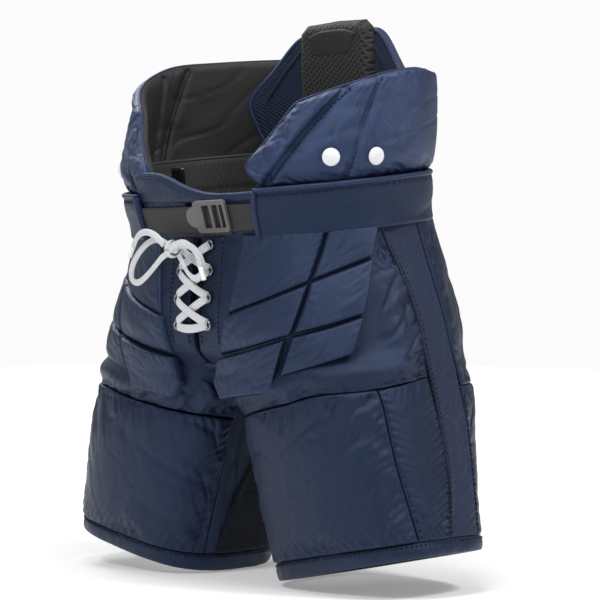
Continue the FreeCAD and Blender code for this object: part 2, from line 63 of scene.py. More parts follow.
def camera_and_light():
    back = np.array([math.sin(TURN), -math.cos(TURN), 0])
    right = np.array([math.cos(TURN), math.sin(TURN), 0])
    camera = bpy.data.objects.new("camera", bpy.data.cameras.new("camera"))
    camera.data.sensor_width = SENSOR
    camera.data.lens = SENSOR * DISTANCE / VIEW_WIDTH
    camera.location = back * DISTANCE + right * ASIDE + np.array([0, MIDDLE_Y, EYE_HEIGHT])
    camera.rotation_euler = (math.pi / 2, 0, TURN)
    bpy.context.collection.objects.link(camera)
    bpy.context.scene.camera = camera
    lamps = (
        ("key_light", back * 1.2 - right * 1.0 + (0, 0, 1.9), 0.55, 18),
        ("fill_light", back * 0.8 + right * 1.5 + (0, 0, 2.3), 0.60, 34),
        ("rim_light", -back * 1.3 - right * 0.9 + (0, 0, 1.9), 1.0, 16),
        ("top_light", back * 0.5 + (0, 0, 2.2), 0.6, 13),
    )
    for name, place, size, power in lamps:
        light = bpy.data.lights.new(name, "AREA")
        light.size = size
        light.energy = power
        lamp = bpy.data.objects.new(name, light)
        lamp.location = place
        aim = np.array([0, 0, 0.3]) - place
        lamp.rotation_euler = (math.acos(-aim[2] / np.linalg.norm(aim)), 0, math.atan2(-aim[0], aim[1]))
        bpy.context.collection.objects.link(lamp)
    world = bpy.data.worlds.new("studio")
    world.use_nodes = True
    tree = world.node_tree
    shade = tree.nodes["Background"]
    shade.inputs["Color"].default_value = (1, 1, 1, 1)
    seen = node(tree, "ShaderNodeLightPath").outputs["Is Camera Ray"]
    tree.links.new(ranged(tree, seen, to_min=0.27, to_max=0.97), shade.inputs["Strength"])
    bpy.context.scene.world = world
    bpy.context.scene.view_settings.view_transform = "Standard"


# ---------------------------------------------------------------- surfaces
# height, half width, half depth, middle behind the origin, squareness
TRUNK = [
    (0.231, 0.220, 0.136, 0.013, 3.0), (0.300, 0.206, 0.150, 0.017, 2.6),
    (0.390, 0.183, 0.141, 0.013, 2.3), (0.430, 0.181, 0.141, 0.001, 2.25),
    (0.490, 0.194, 0.143, -0.007, 2.2), (0.580, 0.198, 0.144, -0.011, 2.2),
]
# height, inner face, outer face, half depth, middle behind the origin
LEG = [(0.0, 0.056, 0.268, 0.090, -0.007), (0.231, 0.006, 0.223, 0.132, 0.013)]
TILT, CROTCH, TILT_TOP = 0.125, 0.231, 0.405
HEM_RISE, RISE_TOP = 0.212, 0.200
LEG_FRONT, LEG_BACK = -62.0, 242.0


def between(table, place):
    """Rows of values at places along a table, on curves with no corners."""
    rows = np.array(table, float)
    place = np.clip(np.asarray(place, float), rows[0, 0], rows[-1, 0])
    step = np.clip(np.searchsorted(rows[:, 0], place, "right") - 1, 0, len(rows) - 2)
    low, high = rows[step], rows[step + 1]
    before = rows[np.maximum(step - 1, 0)]
    after = rows[np.minimum(step + 2, len(rows) - 1)]
    span = high[..., :1] - low[..., :1]
    part = (place[..., None] - low[..., :1]) / span
    leave = (high - before) / (high[..., :1] - before[..., :1]) * span
    arrive = (after - low) / (after[..., :1] - low[..., :1]) * span
    values = (
        (2 * part**3 - 3 * part**2 + 1) * low + (part**3 - 2 * part**2 + part) * leave
        + (3 * part**2 - 2 * part**3) * high + (part**3 - part**2) * arrive
    )
    return values[..., 1:]


def reach(bearing, half_width, half_depth, squareness):
    """x and y of a squared oval at each bearing."""
    sine, cosine = np.sin(np.radians(bearing)), np.cos(np.radians(bearing))
    wide = np.abs(sine / half_width) ** squareness
    deep = np.abs(cosine / half_depth) ** squareness
    radius = (wide + deep) ** (-1 / squareness)
    return radius * sine, -radius * cosine


def trunk(bearing, height, out=0.0):
    """The outer cloth from the hips up; its rings tip forward by TILT."""
    bearing, height = np.broadcast_arrays(np.asarray(bearing, float), np.asarray(height, float))
    sizes = between(TRUNK, height)
    x, y = reach(bearing, sizes[..., 0] + out, sizes[..., 1] + out, sizes[..., 3])
    y = y + sizes[..., 2]
    tilt = TILT * np.clip((height - CROTCH) / (TILT_TOP - CROTCH), 0, 1)
    return np.stack([x, y, height + tilt * y], -1)


def leg(bearing, height, out=0.0):
    """The outer cloth of the left leg; its hem rises outwards by HEM_RISE."""
    bearing, height = np.broadcast_arrays(np.asarray(bearing, float), np.asarray(height, float))
    sizes = between(LEG, height)
    inner, outer = sizes[..., 0], sizes[..., 1]
    x, y = reach(bearing, (outer - inner) / 2 + out, sizes[..., 2] + out, 3.0)
    y = y + sizes[..., 3]
    rise = HEM_RISE * np.clip(1 - height / RISE_TOP, 0, None)
    from_inner = x + (outer - inner) / 2
    return np.stack([x + (outer + inner) / 2, y, height + rise * np.maximum(from_inner, -out)], -1)


def smooth(low, high, value):
    part = np.clip((value - low) / (high - low), 0, 1)
    return part * part * (3 - 2 * part)


def body(bearing, height, out=0.0):
    """The trousers' surface: the leg below, the trunk above, one cloth between them."""
    share = smooth(0.196, 0.262, np.asarray(height, float))[..., None]
    on_leg = leg(LEG_FRONT + bearing * (LEG_BACK - LEG_FRONT) / 180, height, out)
    return on_leg * (1 - share) + trunk(bearing, height, out) * share


# ---------------------------------------------------------------- noise
LATTICE_SIZE = 32
LATTICE = np.random.RandomState(7).uniform(-1, 1, (LATTICE_SIZE,) * 3)


def noise(x, y, z=0.0):
    """Smooth values from -1 to 1 that change over about one unit."""
    place = np.stack(np.broadcast_arrays(x, y, z), -1)
    cell = np.floor(place).astype(int)
    part = place - cell
    part = part * part * (3 - 2 * part)
    total = 0
    for corner in np.ndindex(2, 2, 2):
        weight = np.prod(np.where(corner, part, 1 - part), -1)
        i, j, k = ((cell + corner) % LATTICE_SIZE).reshape(-1, 3).T
        total = total + weight * LATTICE[i, j, k].reshape(weight.shape)
    return total


def crumple(u, v, seed, size, turn=0.0, stretch=2.5):
    """Soft folds with sharper valleys, longer along one direction."""
    a = math.radians(turn)
    along = (u * math.cos(a) + v * math.sin(a)) / (size * stretch)
    across = (-u * math.sin(a) + v * math.cos(a)) / size
    bend = 0.6 * noise(along * 0.7, across * 0.3, seed + 5.5)
    soft = noise(along, across + bend, seed + 0.5)
    crease = noise(along * 0.8 + 9, across * 0.8 + bend, seed + 3.5)
    return 0.6 * soft - 0.7 * np.exp(-(crease / 0.10) ** 2)


# ---------------------------------------------------------------- mesh building
def finish_mesh(name, points, faces, uvs, materials, which=None, side="left"):
    """A smooth-shaded closed mesh whose faces point outwards."""
    points = np.array(points, float).reshape(-1, 3)
    if SIDES[side] < 0:
        points = points * (-1, 1, 1)
    triangles = [(face[0], face[k], face[k + 1]) for face in faces for k in range(1, len(face) - 1)]
    a, b, c = points[np.array(triangles)].transpose(1, 0, 2)
    volume = np.einsum("ij,ij->i", a, np.cross(b, c)).sum()
    if volume < 0:
        faces = [tuple(reversed(face)) for face in faces]
    mesh = bpy.data.meshes.new(name)
    mesh.from_pydata(points.tolist(), [], faces)
    loops = np.empty(len(mesh.loops), int)
    mesh.loops.foreach_get("vertex_index", loops)
    layer = mesh.uv_layers.new(name="UVMap")
    layer.data.foreach_set("uv", np.asarray(uvs, float).reshape(-1, 2)[loops].ravel())
    mesh.polygons.foreach_set("use_smooth", [True] * len(mesh.polygons))
    if which is not None:
        mesh.polygons.foreach_set("material_index", [int(i) for i in which])
    for material in materials:
        mesh.materials.append(material)
    thing = bpy.data.objects.new(name, mesh)
    bpy.context.collection.objects.link(thing)
    return thing


BUNCH = 0.45


def spread(count):
    """Shares from 0 to 1, closer together near both ends, by BUNCH."""
    even = np.linspace(0, 1, count)
    return (1 - BUNCH) * even + BUNCH * (0.5 - 0.5 * np.cos(math.pi * even))


def lay_out(surface, rows, step):
    """A grid over rows of places from the bottom to the top: bearings, heights and lengths."""
    table = [[(i / (len(row) - 1), *place) for i, place in enumerate(row)] for row in rows]
    middle = between(table[len(table) // 2], np.linspace(0, 1, 60))
    line = surface(middle[:, 0], middle[:, 1])
    wide = np.linalg.norm(np.diff(line, axis=0), axis=1).sum()
    places = np.array([between(row, 0.5) for row in table])
    stack = np.column_stack([np.linspace(0, 1, len(rows)), places])
    line = between(stack, np.linspace(0, 1, 60))
    line = surface(line[:, 0], line[:, 1])
    tall = np.linalg.norm(np.diff(line, axis=0), axis=1).sum()
    across = spread(max(8, int(wide / step)))
    up = spread(max(8, int(tall / step)))
    filled = np.array([between(row, across) for row in table])
    stack = np.column_stack([np.linspace(0, 1, len(rows)), filled.reshape(len(rows), -1)])
    grid = between(stack, up).reshape(len(up), len(across), 2).transpose(1, 0, 2)
    bearing, height = grid[..., 0], grid[..., 1]
    flat = surface(bearing, height)
    u = np.zeros(bearing.shape)
    v = np.zeros(bearing.shape)
    u[1:] = np.cumsum(np.linalg.norm(np.diff(flat, axis=0), axis=2), axis=0)
    v[:, 1:] = np.cumsum(np.linalg.norm(np.diff(flat, axis=1), axis=2), axis=1)
    return bearing, height, u, v


def level(height, *bearings):
    """A row of places at one height."""
    return [(bearing, height) for bearing in bearings]


def straight(corners, count=25):
    """Many places along straight runs between a few, so that the corners stay sharp."""
    corners = np.array(corners, float)
    marks = np.linspace(0, len(corners) - 1, count)
    return [tuple(np.interp(mark, np.arange(len(corners)), corners[:, k]) for k in (0, 1)) for mark in marks]


def grid_faces(wide, tall):
    """Faces of two grids of points, one over the other, and of the strip round their edge."""
    i, j = np.meshgrid(np.arange(wide - 1), np.arange(tall - 1), indexing="ij")
    a = (i * tall + j).ravel()
    top = np.stack([a, a + tall, a + tall + 1, a + 1], 1)
    under = top[:, ::-1] + wide * tall
    ring = [k * tall for k in range(wide)] + [(wide - 1) * tall + k for k in range(1, tall)]
    ring += [k * tall + tall - 1 for k in range(wide - 2, -1, -1)] + list(range(tall - 2, 0, -1))
    a = np.array(ring)
    b = np.roll(a, -1)
    edge = np.stack([b, a, a + wide * tall, b + wide * tall], 1)
    return top, under, edge


def groove(bearing, height, line, surface, width):
    """How near each place is to a line of (bearing, height): 1 on it, 0 beyond its width."""
    ends = np.array(line, float)
    shares = np.linspace(0, 1, 40)[:, None]
    dense = np.concatenate([a + (b - a) * shares for a, b in zip(ends, ends[1:])])
    here = surface(bearing, height)
    near = np.full(bearing.shape, 1.0)
    for mark in surface(dense[:, 0], dense[:, 1]):
        near = np.minimum(near, np.linalg.norm(here - mark, axis=-1))
    return np.exp(-((near / width) ** 2))


def sewn_shape(surface, rows, low, high, inner, step, edge, crown, folds, grooves, puckers):
    """The two faces of a sewn panel: crowned between its seams, with its folds and puckers."""
    bearing, height, u, v = lay_out(surface, rows, step)
    sides = [u, u[-1:] - u, v, v[:, -1:] - v]
    near = np.minimum.reduce(sides)
    lift = np.sqrt(1 - (1 - np.clip(near / edge, 0, 1)) ** 2)
    out = low + (high - low) * lift
    wide = np.clip(4 * u * sides[1] / np.maximum(u[-1:], 1e-6) ** 2, 0, 1)
    tall = np.clip(4 * v * sides[3] / np.maximum(v[:, -1:], 1e-6) ** 2, 0, 1)
    out = out + crown * np.sqrt(wide * tall)
    if folds is not None:
        out = out + folds(bearing, height, u, v) * smooth(0, 0.012, near)
    for line, depth, width in grooves:
        out = out - depth * groove(bearing, height, line, surface, width)
    if puckers is not None:
        depth, pitch, fade = puckers
        beside = np.minimum(sides[0], sides[1]) < np.minimum(sides[2], sides[3])
        along = np.where(beside, v, u) + 0.5 * near
        wave = np.sin(along * 2 * math.pi / pitch + 2.6 * noise(along / (1.7 * pitch), near * 30, 4.5))
        reach_in = fade * (1 + 0.7 * noise(along / (1.3 * pitch), 0.5, 6.5))
        wave = wave * (0.6 + 0.4 * noise(along / (3.1 * pitch), 0.5, 8.5))
        out = out + depth * wave * np.exp(-near / reach_in) * smooth(0.0008, 0.0060, near)
    return np.stack([u, v], -1), surface(bearing, height, out), surface(bearing, height, inner)


def panel(name, side, surface, rows, low, high, inner, materials, edge=0.004, crown=0.0,
          step=None, folds=None, grooves=(), puckers=None, swell=None, free=None):
    """A sewn panel as a closed mesh; with swell, a cloth simulation fills and wrinkles it,
    as far as free lets each place move."""
    uv, outer, under = sewn_shape(surface, rows, low, high, inner, step or STEP, edge, crown, folds,
                                  grooves, puckers)
    if swell is not None:
        coarse = sewn_shape(surface, rows, low, high, inner, SETTLE_STEP, edge, crown, folds, grooves, None)
        shift = between_grids(settle(coarse, *swell), outer.shape[:2])
        if free is not None:
            shift = shift * free(*lay_out(surface, rows, step or STEP)[:2])[..., None]
        outer = outer + shift
    top, below, rim = grid_faces(*outer.shape[:2])
    faces = np.concatenate([top, below, rim]).tolist()
    which = np.concatenate([np.zeros(len(top)), np.full(len(below), len(materials) - 1), np.zeros(len(rim))])
    points = np.concatenate([outer.reshape(-1, 3), under.reshape(-1, 3)])
    uvs = np.concatenate([uv.reshape(-1, 2), uv.reshape(-1, 2)])
    return finish_mesh(name, points, faces, uvs, materials, which, side)


def between_grids(values, shape):
    """A coarse grid of vectors on the places of a finer one laid out in the same way."""
    weights = []
    for have, want in zip(values.shape, shape):
        weights.append(np.stack([np.interp(spread(want), spread(have), line) for line in np.eye(have)], 1))
    return np.einsum("ia,abk,jb->ijk", weights[0], values, weights[1])


SETTLE_FRAMES = 12


def settle(shape, pressure, spare, cap):
    """Cloth simulation: a panel swells between its sewn edges, and its spare cloth wrinkles.

    Returns how far each point of the panel's outer face moves."""
    uv, outer, under = shape
    count = outer.shape[0] * outer.shape[1]
    top, below, rim = grid_faces(*outer.shape[:2])
    rest = np.concatenate([outer.reshape(-1, 3), under.reshape(-1, 3)])
    uvs = np.concatenate([uv.reshape(-1, 2), uv.reshape(-1, 2)])
    thing = finish_mesh("settling", rest, np.concatenate([top, below, rim]).tolist(), uvs, [])
    group = thing.vertex_groups.new(name="sewn")
    group.add([int(i) for i in np.concatenate([rim[:, 1], np.arange(count, 2 * count)])], 1.0, "REPLACE")
    cloth = thing.modifiers.new("cloth", "CLOTH")
    facts = cloth.settings
    facts.quality = 5
    facts.mass = 0.2
    facts.tension_stiffness = 15
    facts.compression_stiffness = 15
    facts.shear_stiffness = 6
    facts.bending_stiffness = 0.12
    facts.vertex_group_mass = "sewn"
    facts.shrink_min = -spare
    facts.use_pressure = True
    facts.uniform_pressure_force = pressure
    facts.effector_weights.gravity = 0
    cloth.collision_settings.use_collision = False
    cloth.point_cache.frame_start = 1
    cloth.point_cache.frame_end = SETTLE_FRAMES
    for moment in range(1, SETTLE_FRAMES + 1):
        bpy.context.scene.frame_set(moment)
    settled = thing.evaluated_get(bpy.context.evaluated_depsgraph_get()).to_mesh()
    moved = np.empty(2 * count * 3)
    settled.vertices.foreach_get("co", moved)
    shift = moved.reshape(-1, 3)[:count] - rest[:count]
    far = np.linalg.norm(shift, axis=1)[:, None]
    shift = shift * np.minimum(1, cap / np.maximum(far, 1e-9))
    used = thing.data
    bpy.data.objects.remove(thing)
    bpy.data.meshes.remove(used)
    bpy.context.scene.frame_set(1)
    return shift.reshape(outer.shape)


def line_on(surface, line, out, step=0.003):
    """Even points along a line of places on a surface, and the outward direction at each."""
    table = [(i / (len(line) - 1), *place) for i, place in enumerate(line)]
    places = between(table, np.linspace(0, 1, 300))
    here = surface(places[:, 0], places[:, 1], out)
    above = surface(places[:, 0], places[:, 1], out + 0.002)
    both = np.concatenate([here, above - here], 1)
    run = np.concatenate([[0], np.cumsum(np.linalg.norm(np.diff(here, axis=0), axis=1))])
    marks = np.linspace(0, run[-1], max(4, int(round(run[-1] / step)) + 1))
    both = np.stack([np.interp(marks, run, both[:, k]) for k in range(6)], 1)
    outward = both[:, 3:] / np.linalg.norm(both[:, 3:], axis=1)[:, None]
    return both[:, :3], outward


def ring_faces(count, sides, closed):
    """Quads between rings of points, each ring joined to the next."""
    faces = []
    for i in range(count if closed else count - 1):
        for k in range(sides):
            here, ahead, beside = i * sides, (i + 1) % count * sides, (k + 1) % sides
            faces.append((here + k, here + beside, ahead + beside, ahead + k))
    return faces


def sweep(points, outward, section, closed=False):
    """Points, faces and uvs of a section of (across, outward) swept along a line."""
    points, section = np.asarray(points, float), np.asarray(section, float)
    ahead = np.gradient(points, axis=0)
    if closed:
        ahead = np.roll(points, -1, 0) - np.roll(points, 1, 0)
    ahead /= np.linalg.norm(ahead, axis=1)[:, None]
    outward = np.broadcast_to(np.asarray(outward, float), points.shape)
    across = np.cross(ahead, outward)
    across /= np.linalg.norm(across, axis=1)[:, None]
    normal = np.cross(across, ahead)
    rings = points[:, None] + across[:, None] * section[:, :1] + normal[:, None] * section[:, 1:]
    count, sides = len(points), len(section)
    faces = ring_faces(count, sides, closed)
    if not closed:
        faces.append(tuple(reversed(range(sides))))
        faces.append(tuple(range((count - 1) * sides, count * sides)))
    run = np.concatenate([[0], np.cumsum(np.linalg.norm(np.diff(points, axis=0), axis=1))])
    girth = np.concatenate([[0], np.cumsum(np.linalg.norm(np.diff(section, axis=0), axis=1))])
    uvs = np.stack(np.meshgrid(run, girth, indexing="ij"), -1).reshape(-1, 2)
    return rings.reshape(-1, 3), faces, uvs


def oval(half_width, half_thick, sides=12, square=2.6):
    """A rounded flat section."""
    turn = np.arange(sides) * 2 * math.pi / sides
    x = np.sign(np.cos(turn)) * np.abs(np.cos(turn)) ** (2 / square) * half_width
    y = np.sign(np.sin(turn)) * np.abs(np.sin(turn)) ** (2 / square) * half_thick
    return np.stack([x, y], 1)


def piping(name, side, points, outward, half_width, half_thick, material, closed=False):
    shape = sweep(points, outward, oval(half_width, half_thick, 12, 2.2), closed)
    return finish_mesh(name, *shape, [material], side=side)


def merged(parts):
    """Several (points, faces, uvs) as one."""
    points, faces, uvs, start = [], [], [], 0
    for some, theirs, flat in parts:
        points.append(some)
        uvs.append(flat)
        faces.extend(tuple(i + start for i in face) for face in theirs)
        start += len(some)
    return np.concatenate(points), faces, np.concatenate(uvs)


# a stitch's length, the gap after it, half the thread's width
STITCH, STITCH_GAP, THREAD = 0.0036, 0.0018, 0.00075


def stitches(name, side, surface, lines, out, material):
    """Rows of stitches: short lengths of thread that dip into the cloth at each end."""
    parts = []
    for line in lines:
        points, outward = line_on(surface, line, out, (STITCH + STITCH_GAP) / 5)
        for start in range(0, len(points) - 5, 5):
            away = outward[start:start + 4]
            here = points[start:start + 4] - away * THREAD * 0.2
            dip = np.array([1.0, 0, 0, 1.0])[:, None]
            parts.append(sweep(here - away * dip * THREAD, away, oval(THREAD, THREAD * 0.8, 6, 2)))
    return finish_mesh(name, *merged(parts), [material], side=side)


# ---------------------------------------------------------------- materials
def srgb(red, green, blue):
    """A linear colour from the 0 to 255 values of a colour picker."""
    values = [c / 255 for c in (red, green, blue)]
    return tuple(c / 12.92 if c <= 0.04045 else ((c + 0.055) / 1.055) ** 2.4 for c in values) + (1,)


def new_material(name, roughness, specular=0.5, sheen=0.0, metallic=0.0, tint=(1, 1, 1, 1)):
    material = bpy.data.materials.new(name)
    material.use_nodes = True
    tree = material.node_tree
    shader = tree.nodes["Principled BSDF"]
    shader.inputs["Roughness"].default_value = roughness
    shader.inputs["Specular IOR Level"].default_value = specular
    shader.inputs["Specular Tint"].default_value = tint
    shader.inputs["Sheen Weight"].default_value = sheen
    shader.inputs["Sheen Roughness"].default_value = 0.45
    shader.inputs["Metallic"].default_value = metallic
    return material, tree, shader


def node(tree, kind, inputs=None, **settings):
    made = tree.nodes.new(kind)
    for word, value in settings.items():
        setattr(made, word, value)
    for word, value in (inputs or {}).items():
        if isinstance(value, bpy.types.NodeSocket):
            tree.links.new(value, made.inputs[word])
        else:
            made.inputs[word].default_value = value
    return made


def darkened(colour, share):
    return tuple(c * share for c in colour[:3]) + (1,)


def mixed(tree, factor, first, second):
    """A colour from the first at a factor of 0 to the second at 1."""
    inputs = {"Factor": factor, "A": first, "B": second}
    return node(tree, "ShaderNodeMix", inputs, data_type="RGBA").outputs["Result"]


def ranged(tree, value, **ends):
    """A value mapped onto another range; from_min=0.5 sets the socket called From Min."""
    inputs = {word.replace("_", " ").title(): end for word, end in ends.items()}
    return node(tree, "ShaderNodeMapRange", {"Value": value, **inputs}).outputs["Result"]


def mottled(tree, shader, colour, darker, scale, roughness, spread_by=0.06):
    """Colour and roughness that drift gently over the cloth, and lighter worn edges."""
    place = node(tree, "ShaderNodeTexCoord").outputs["Object"]
    drift = node(tree, "ShaderNodeTexNoise", {"Vector": place, "Scale": scale, "Detail": 5.0}).outputs["Fac"]
    base = mixed(tree, drift, colour, darkened(colour, darker))
    edges = node(tree, "ShaderNodeNewGeometry").outputs["Pointiness"]
    edges = ranged(tree, edges, from_min=0.52, from_max=0.60, to_max=0.35)
    worn = tuple(min(1, c * 1.7 + 0.004) for c in colour[:3]) + (1,)
    tree.links.new(mixed(tree, edges, base, worn), shader.inputs["Base Color"])
    rough = ranged(tree, drift, to_min=roughness - spread_by, to_max=roughness + spread_by)
    tree.links.new(rough, shader.inputs["Roughness"])


def bump(tree, shader, height, strength, distance):
    made = node(tree, "ShaderNodeBump", {"Strength": strength, "Distance": distance, "Height": height})
    tree.links.new(made.outputs["Normal"], shader.inputs["Normal"])


BAND_AT_SCALE_1 = 0.314


def wave(tree, vector, pitch, turn=0.0):
    """Stripes of a pitch in metres across the flat cloth, turned by degrees."""
    turned = node(tree, "ShaderNodeMapping", {"Vector": vector, "Rotation": (0, 0, math.radians(turn))})
    inputs = {"Vector": turned.outputs["Vector"], "Scale": BAND_AT_SCALE_1 / pitch}
    return node(tree, "ShaderNodeTexWave", inputs, wave_type="BANDS", bands_direction="X",
                wave_profile="SIN").outputs["Fac"]


def maths(tree, work, a, b):
    made = node(tree, "ShaderNodeMath", operation=work)
    for socket, value in zip(made.inputs, (a, b)):
        if isinstance(value, bpy.types.NodeSocket):
            tree.links.new(value, socket)
        else:
            socket.default_value = value
    return made.outputs["Value"]


SATIN_TINT = (0.42, 0.58, 1.0, 1)


def nylon(name, colour, roughness=0.37, specular=0.5, tint=SATIN_TINT, crease=6.0):
    """Coated woven nylon: a fine plain weave under a satin face, with tiny creases."""
    material, tree, shader = new_material(name, roughness, specular, tint=tint)
    mottled(tree, shader, colour, 0.82, 14.0, roughness)
    flat = node(tree, "ShaderNodeTexCoord").outputs["UV"]
    warp = wave(tree, flat, 0.0011)
    weft = wave(tree, flat, 0.0011, 90)
    weave = maths(tree, "MULTIPLY", warp, weft)
    place = node(tree, "ShaderNodeTexCoord").outputs["Object"]
    fine = node(tree, "ShaderNodeTexNoise",
                {"Vector": place, "Scale": 95.0, "Detail": 4.0, "Roughness": 0.55})
    creases = maths(tree, "MULTIPLY", fine.outputs["Fac"], 2.6)
    broad = node(tree, "ShaderNodeTexNoise",
                 {"Vector": place, "Scale": 34.0, "Detail": 3.0, "Distortion": 1.2})
    ridge = maths(tree, "ABSOLUTE", maths(tree, "SUBTRACT", broad.outputs["Fac"], 0.5), 0.0)
    ridge = maths(tree, "MULTIPLY", maths(tree, "MINIMUM", ridge, 0.11), crease)
    bump(tree, shader, maths(tree, "ADD", maths(tree, "ADD", weave, creases), ridge), 0.5, 0.00045)
    return material


def ribbed(name, colour, pitch, turn, depth, roughness=0.75, furrow_shade=0.45):
    """Knitted ribs with painted shade in their furrows, crossed by fine courses."""
    material, tree, shader = new_material(name, roughness, 0.25, 0.05)
    flat = node(tree, "ShaderNodeTexCoord").outputs["UV"]
    rib = wave(tree, flat, pitch, turn)
    course = wave(tree, flat, pitch * 0.55, turn + 90)
    high = maths(tree, "ADD", rib, maths(tree, "MULTIPLY", course, 0.35))
    # painted shade: the colour darkens into the furrows, where the bump sinks
    tree.links.new(mixed(tree, rib, darkened(colour, furrow_shade), colour), shader.inputs["Base Color"])
    bump(tree, shader, high, 0.8, depth)
    return material


def spacer_mesh(name, colour, cell, depth, roughness=0.7, hole=0.25):
    """Air mesh: rows of small holes in a dull knit, with painted shade in the holes."""
    material, tree, shader = new_material(name, roughness, 0.3, 0.05)
    flat = node(tree, "ShaderNodeTexCoord").outputs["UV"]
    skewed = node(tree, "ShaderNodeMapping", {"Vector": flat, "Rotation": (0, 0, math.radians(30))})
    cells = node(tree, "ShaderNodeTexVoronoi", {"Vector": skewed.outputs["Vector"], "Scale": 1 / cell,
                 "Randomness": 0.12}, voronoi_dimensions="2D")
    wall = ranged(tree, cells.outputs["Distance"], from_min=hole, from_max=hole + 0.16)
    # painted shade: the holes, sunk by the bump, get a much darker colour
    tree.links.new(mixed(tree, wall, darkened(colour, 0.22), colour), shader.inputs["Base Color"])
    bump(tree, shader, wall, 0.8, depth)
    return material


def moulded(name, colour, roughness=0.4, grain=0.0002):
    """Moulded plastic with a faint spark-eroded grain."""
    material, tree, shader = new_material(name, roughness, 0.5)
    mottled(tree, shader, colour, 0.9, 60.0, roughness, 0.05)
    place = node(tree, "ShaderNodeTexCoord").outputs["Object"]
    speck = node(tree, "ShaderNodeTexNoise", {"Vector": place, "Scale": 900.0, "Detail": 2.0})
    bump(tree, shader, speck.outputs["Fac"], 0.35, grain)
    return material


def metal(name, colour):
    material, tree, shader = new_material(name, 0.3, 0.5, 0, 1.0)
    mottled(tree, shader, colour, 0.85, 90.0, 0.32, 0.08)
    return material


M = {
    "navy": nylon("navy_nylon", srgb(24, 33, 53)),
    "chevron": nylon("navy_nylon_satin", srgb(25, 35, 57), 0.33, 0.7, crease=2.0),
    # the wings' cloth is the navy nylon with a lighter colour: painted light for the light that falls on them
    "wing": nylon("navy_nylon_painted_light_wing", srgb(31, 43, 71), 0.38, 0.85),
    "belt": nylon("navy_belt_nylon", srgb(24, 34, 54), 0.42, 0.45, crease=2.0),
    "binding": ribbed("navy_binding", srgb(31, 46, 80), 0.0016, 0, 0.0002, 0.42, 0.85),
    "side_mesh": ribbed("navy_side_mesh", srgb(31, 43, 70), 0.0032, 52, 0.0004, 0.5, 0.78),
    "knit": ribbed("navy_knit", srgb(30, 42, 68), 0.0034, 62, 0.0008, 0.8, 0.5),
    "gusset": ribbed("dark_gusset_knit", srgb(20, 26, 38), 0.0030, 90, 0.0006, 0.8, 0.5),
    "lining": spacer_mesh("black_lining", srgb(34, 33, 33), 0.0021, 0.0002, 0.55, 0.12),
    "inner_mesh": spacer_mesh("black_inner_mesh", srgb(52, 51, 51), 0.0036, 0.0006),
    "pillow": spacer_mesh("black_pillow_mesh", srgb(44, 44, 45), 0.0064, 0.0010, 0.6, 0.24),
    "patch": nylon("plain_patch", srgb(27, 27, 28), 0.45, 0.4, (1, 1, 1, 1)),
    "webbing": ribbed("charcoal_webbing", srgb(56, 55, 55), 0.0030, 0, 0.0005, 0.6, 0.75),
    "lace": ribbed("white_lace", srgb(225, 226, 230), 0.0019, 45, 0.0004, 0.7, 0.72),
    "stitch": ribbed("dark_thread", srgb(13, 17, 26), 0.0009, 30, 0.0001, 0.6, 0.7),
    "grey": moulded("grey_plastic", srgb(84, 83, 84), 0.36),
    "black": moulded("black_plastic", srgb(22, 22, 23), 0.25),
    "white": moulded("white_plastic", srgb(232, 233, 236), 0.25),
    "metal": metal("eyelet_metal", srgb(150, 152, 156)),
    "piping": ribbed("grey_piping", srgb(58, 59, 62), 0.0014, 0, 0.0002, 0.6, 0.7),
}


def follow_leg(thing):
    """Bakes the piece's placement into its mesh."""
    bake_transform(thing)


def fasten(thing, body):
    """Hangs a piece on the body that it rides on."""
    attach(thing, body)


# ---------------------------------------------------------------- legs and hips
HEM_TOP = 0.020
THIGH_ROWS = [
    level(HEM_TOP, 1, 19, 37, 55, 73.4),
    [(1, 0.098), (18, 0.102), (35.5, 0.109), (52, 0.117), (68.6, 0.122)],
    [(1, 0.1763), (16.5, 0.1845), (34, 0.1975), (49.5, 0.2105), (66.2, 0.2173)],
]
HIP_ROWS = [
    [(0.6, 0.1775), (16.5, 0.1855), (34, 0.1985), (49.5, 0.2115), (66, 0.2180), (86.2, 0.2300)],
    [(0.6, 0.240), (17, 0.246), (34, 0.252), (51, 0.256), (68, 0.260), (86.4, 0.264)],
    [(2.6, 0.308), (18, 0.312), (34, 0.316), (50, 0.319), (67, 0.322), (83, 0.324)],
    [(2.6, 0.378), (17, 0.378), (33, 0.379), (48, 0.380), (63, 0.381), (78, 0.381)],
    level(0.440, 2.6, 17, 32, 46, 61, 75),
]
SIDE_ROWS = [
    level(HEM_TOP, 73.6, 80.3, 87),
    [(68.8, 0.122), (79.3, 0.124), (89.8, 0.126)],
    [(66.4, 0.2165), (76, 0.2225), (86.2, 0.2290)],
]
MESH_ROWS = [
    level(HEM_TOP, 87.3, 95.3, 103.3),
    level(0.098, 90.3, 97, 103.8),
    level(0.185, 89.2, 96, 103.4),
    [(86.8, 0.258), (92.5, 0.258), (99, 0.262)],
    [(83.3, 0.324), (89.5, 0.324), (96.4, 0.326)],
    level(0.381, 78.3, 86.5, 95.2),
    level(0.440, 75.3, 85, 94.5),
]
SEAT_ROWS = [
    [(103.7, 0.219), (129, 0.222), (154, 0.227), (180, 0.232)],
    level(0.262, 99.3, 126, 153, 180),
    level(0.326, 96.8, 124, 152, 180),
    level(0.381, 95.5, 123, 151, 180),
    level(0.440, 94.8, 123, 151, 180),
]
BACK_ROWS = [
    level(HEM_TOP, 103.6, 129, 154, 179.8),
    [(104.1, 0.110), (129, 0.112), (154, 0.114), (179.8, 0.116)],
    [(103.8, 0.218), (129, 0.221), (154, 0.226), (179.8, 0.231)],
]
INNER_FRONT = 360 + LEG_FRONT + 1.6
INNER_ROWS = [
    level(HEM_TOP, LEG_BACK, 270, INNER_FRONT),
    level(0.120, LEG_BACK, 270, INNER_FRONT),
    [(LEG_BACK, 0.228), (270, 0.226), (INNER_FRONT, 0.222)],
]
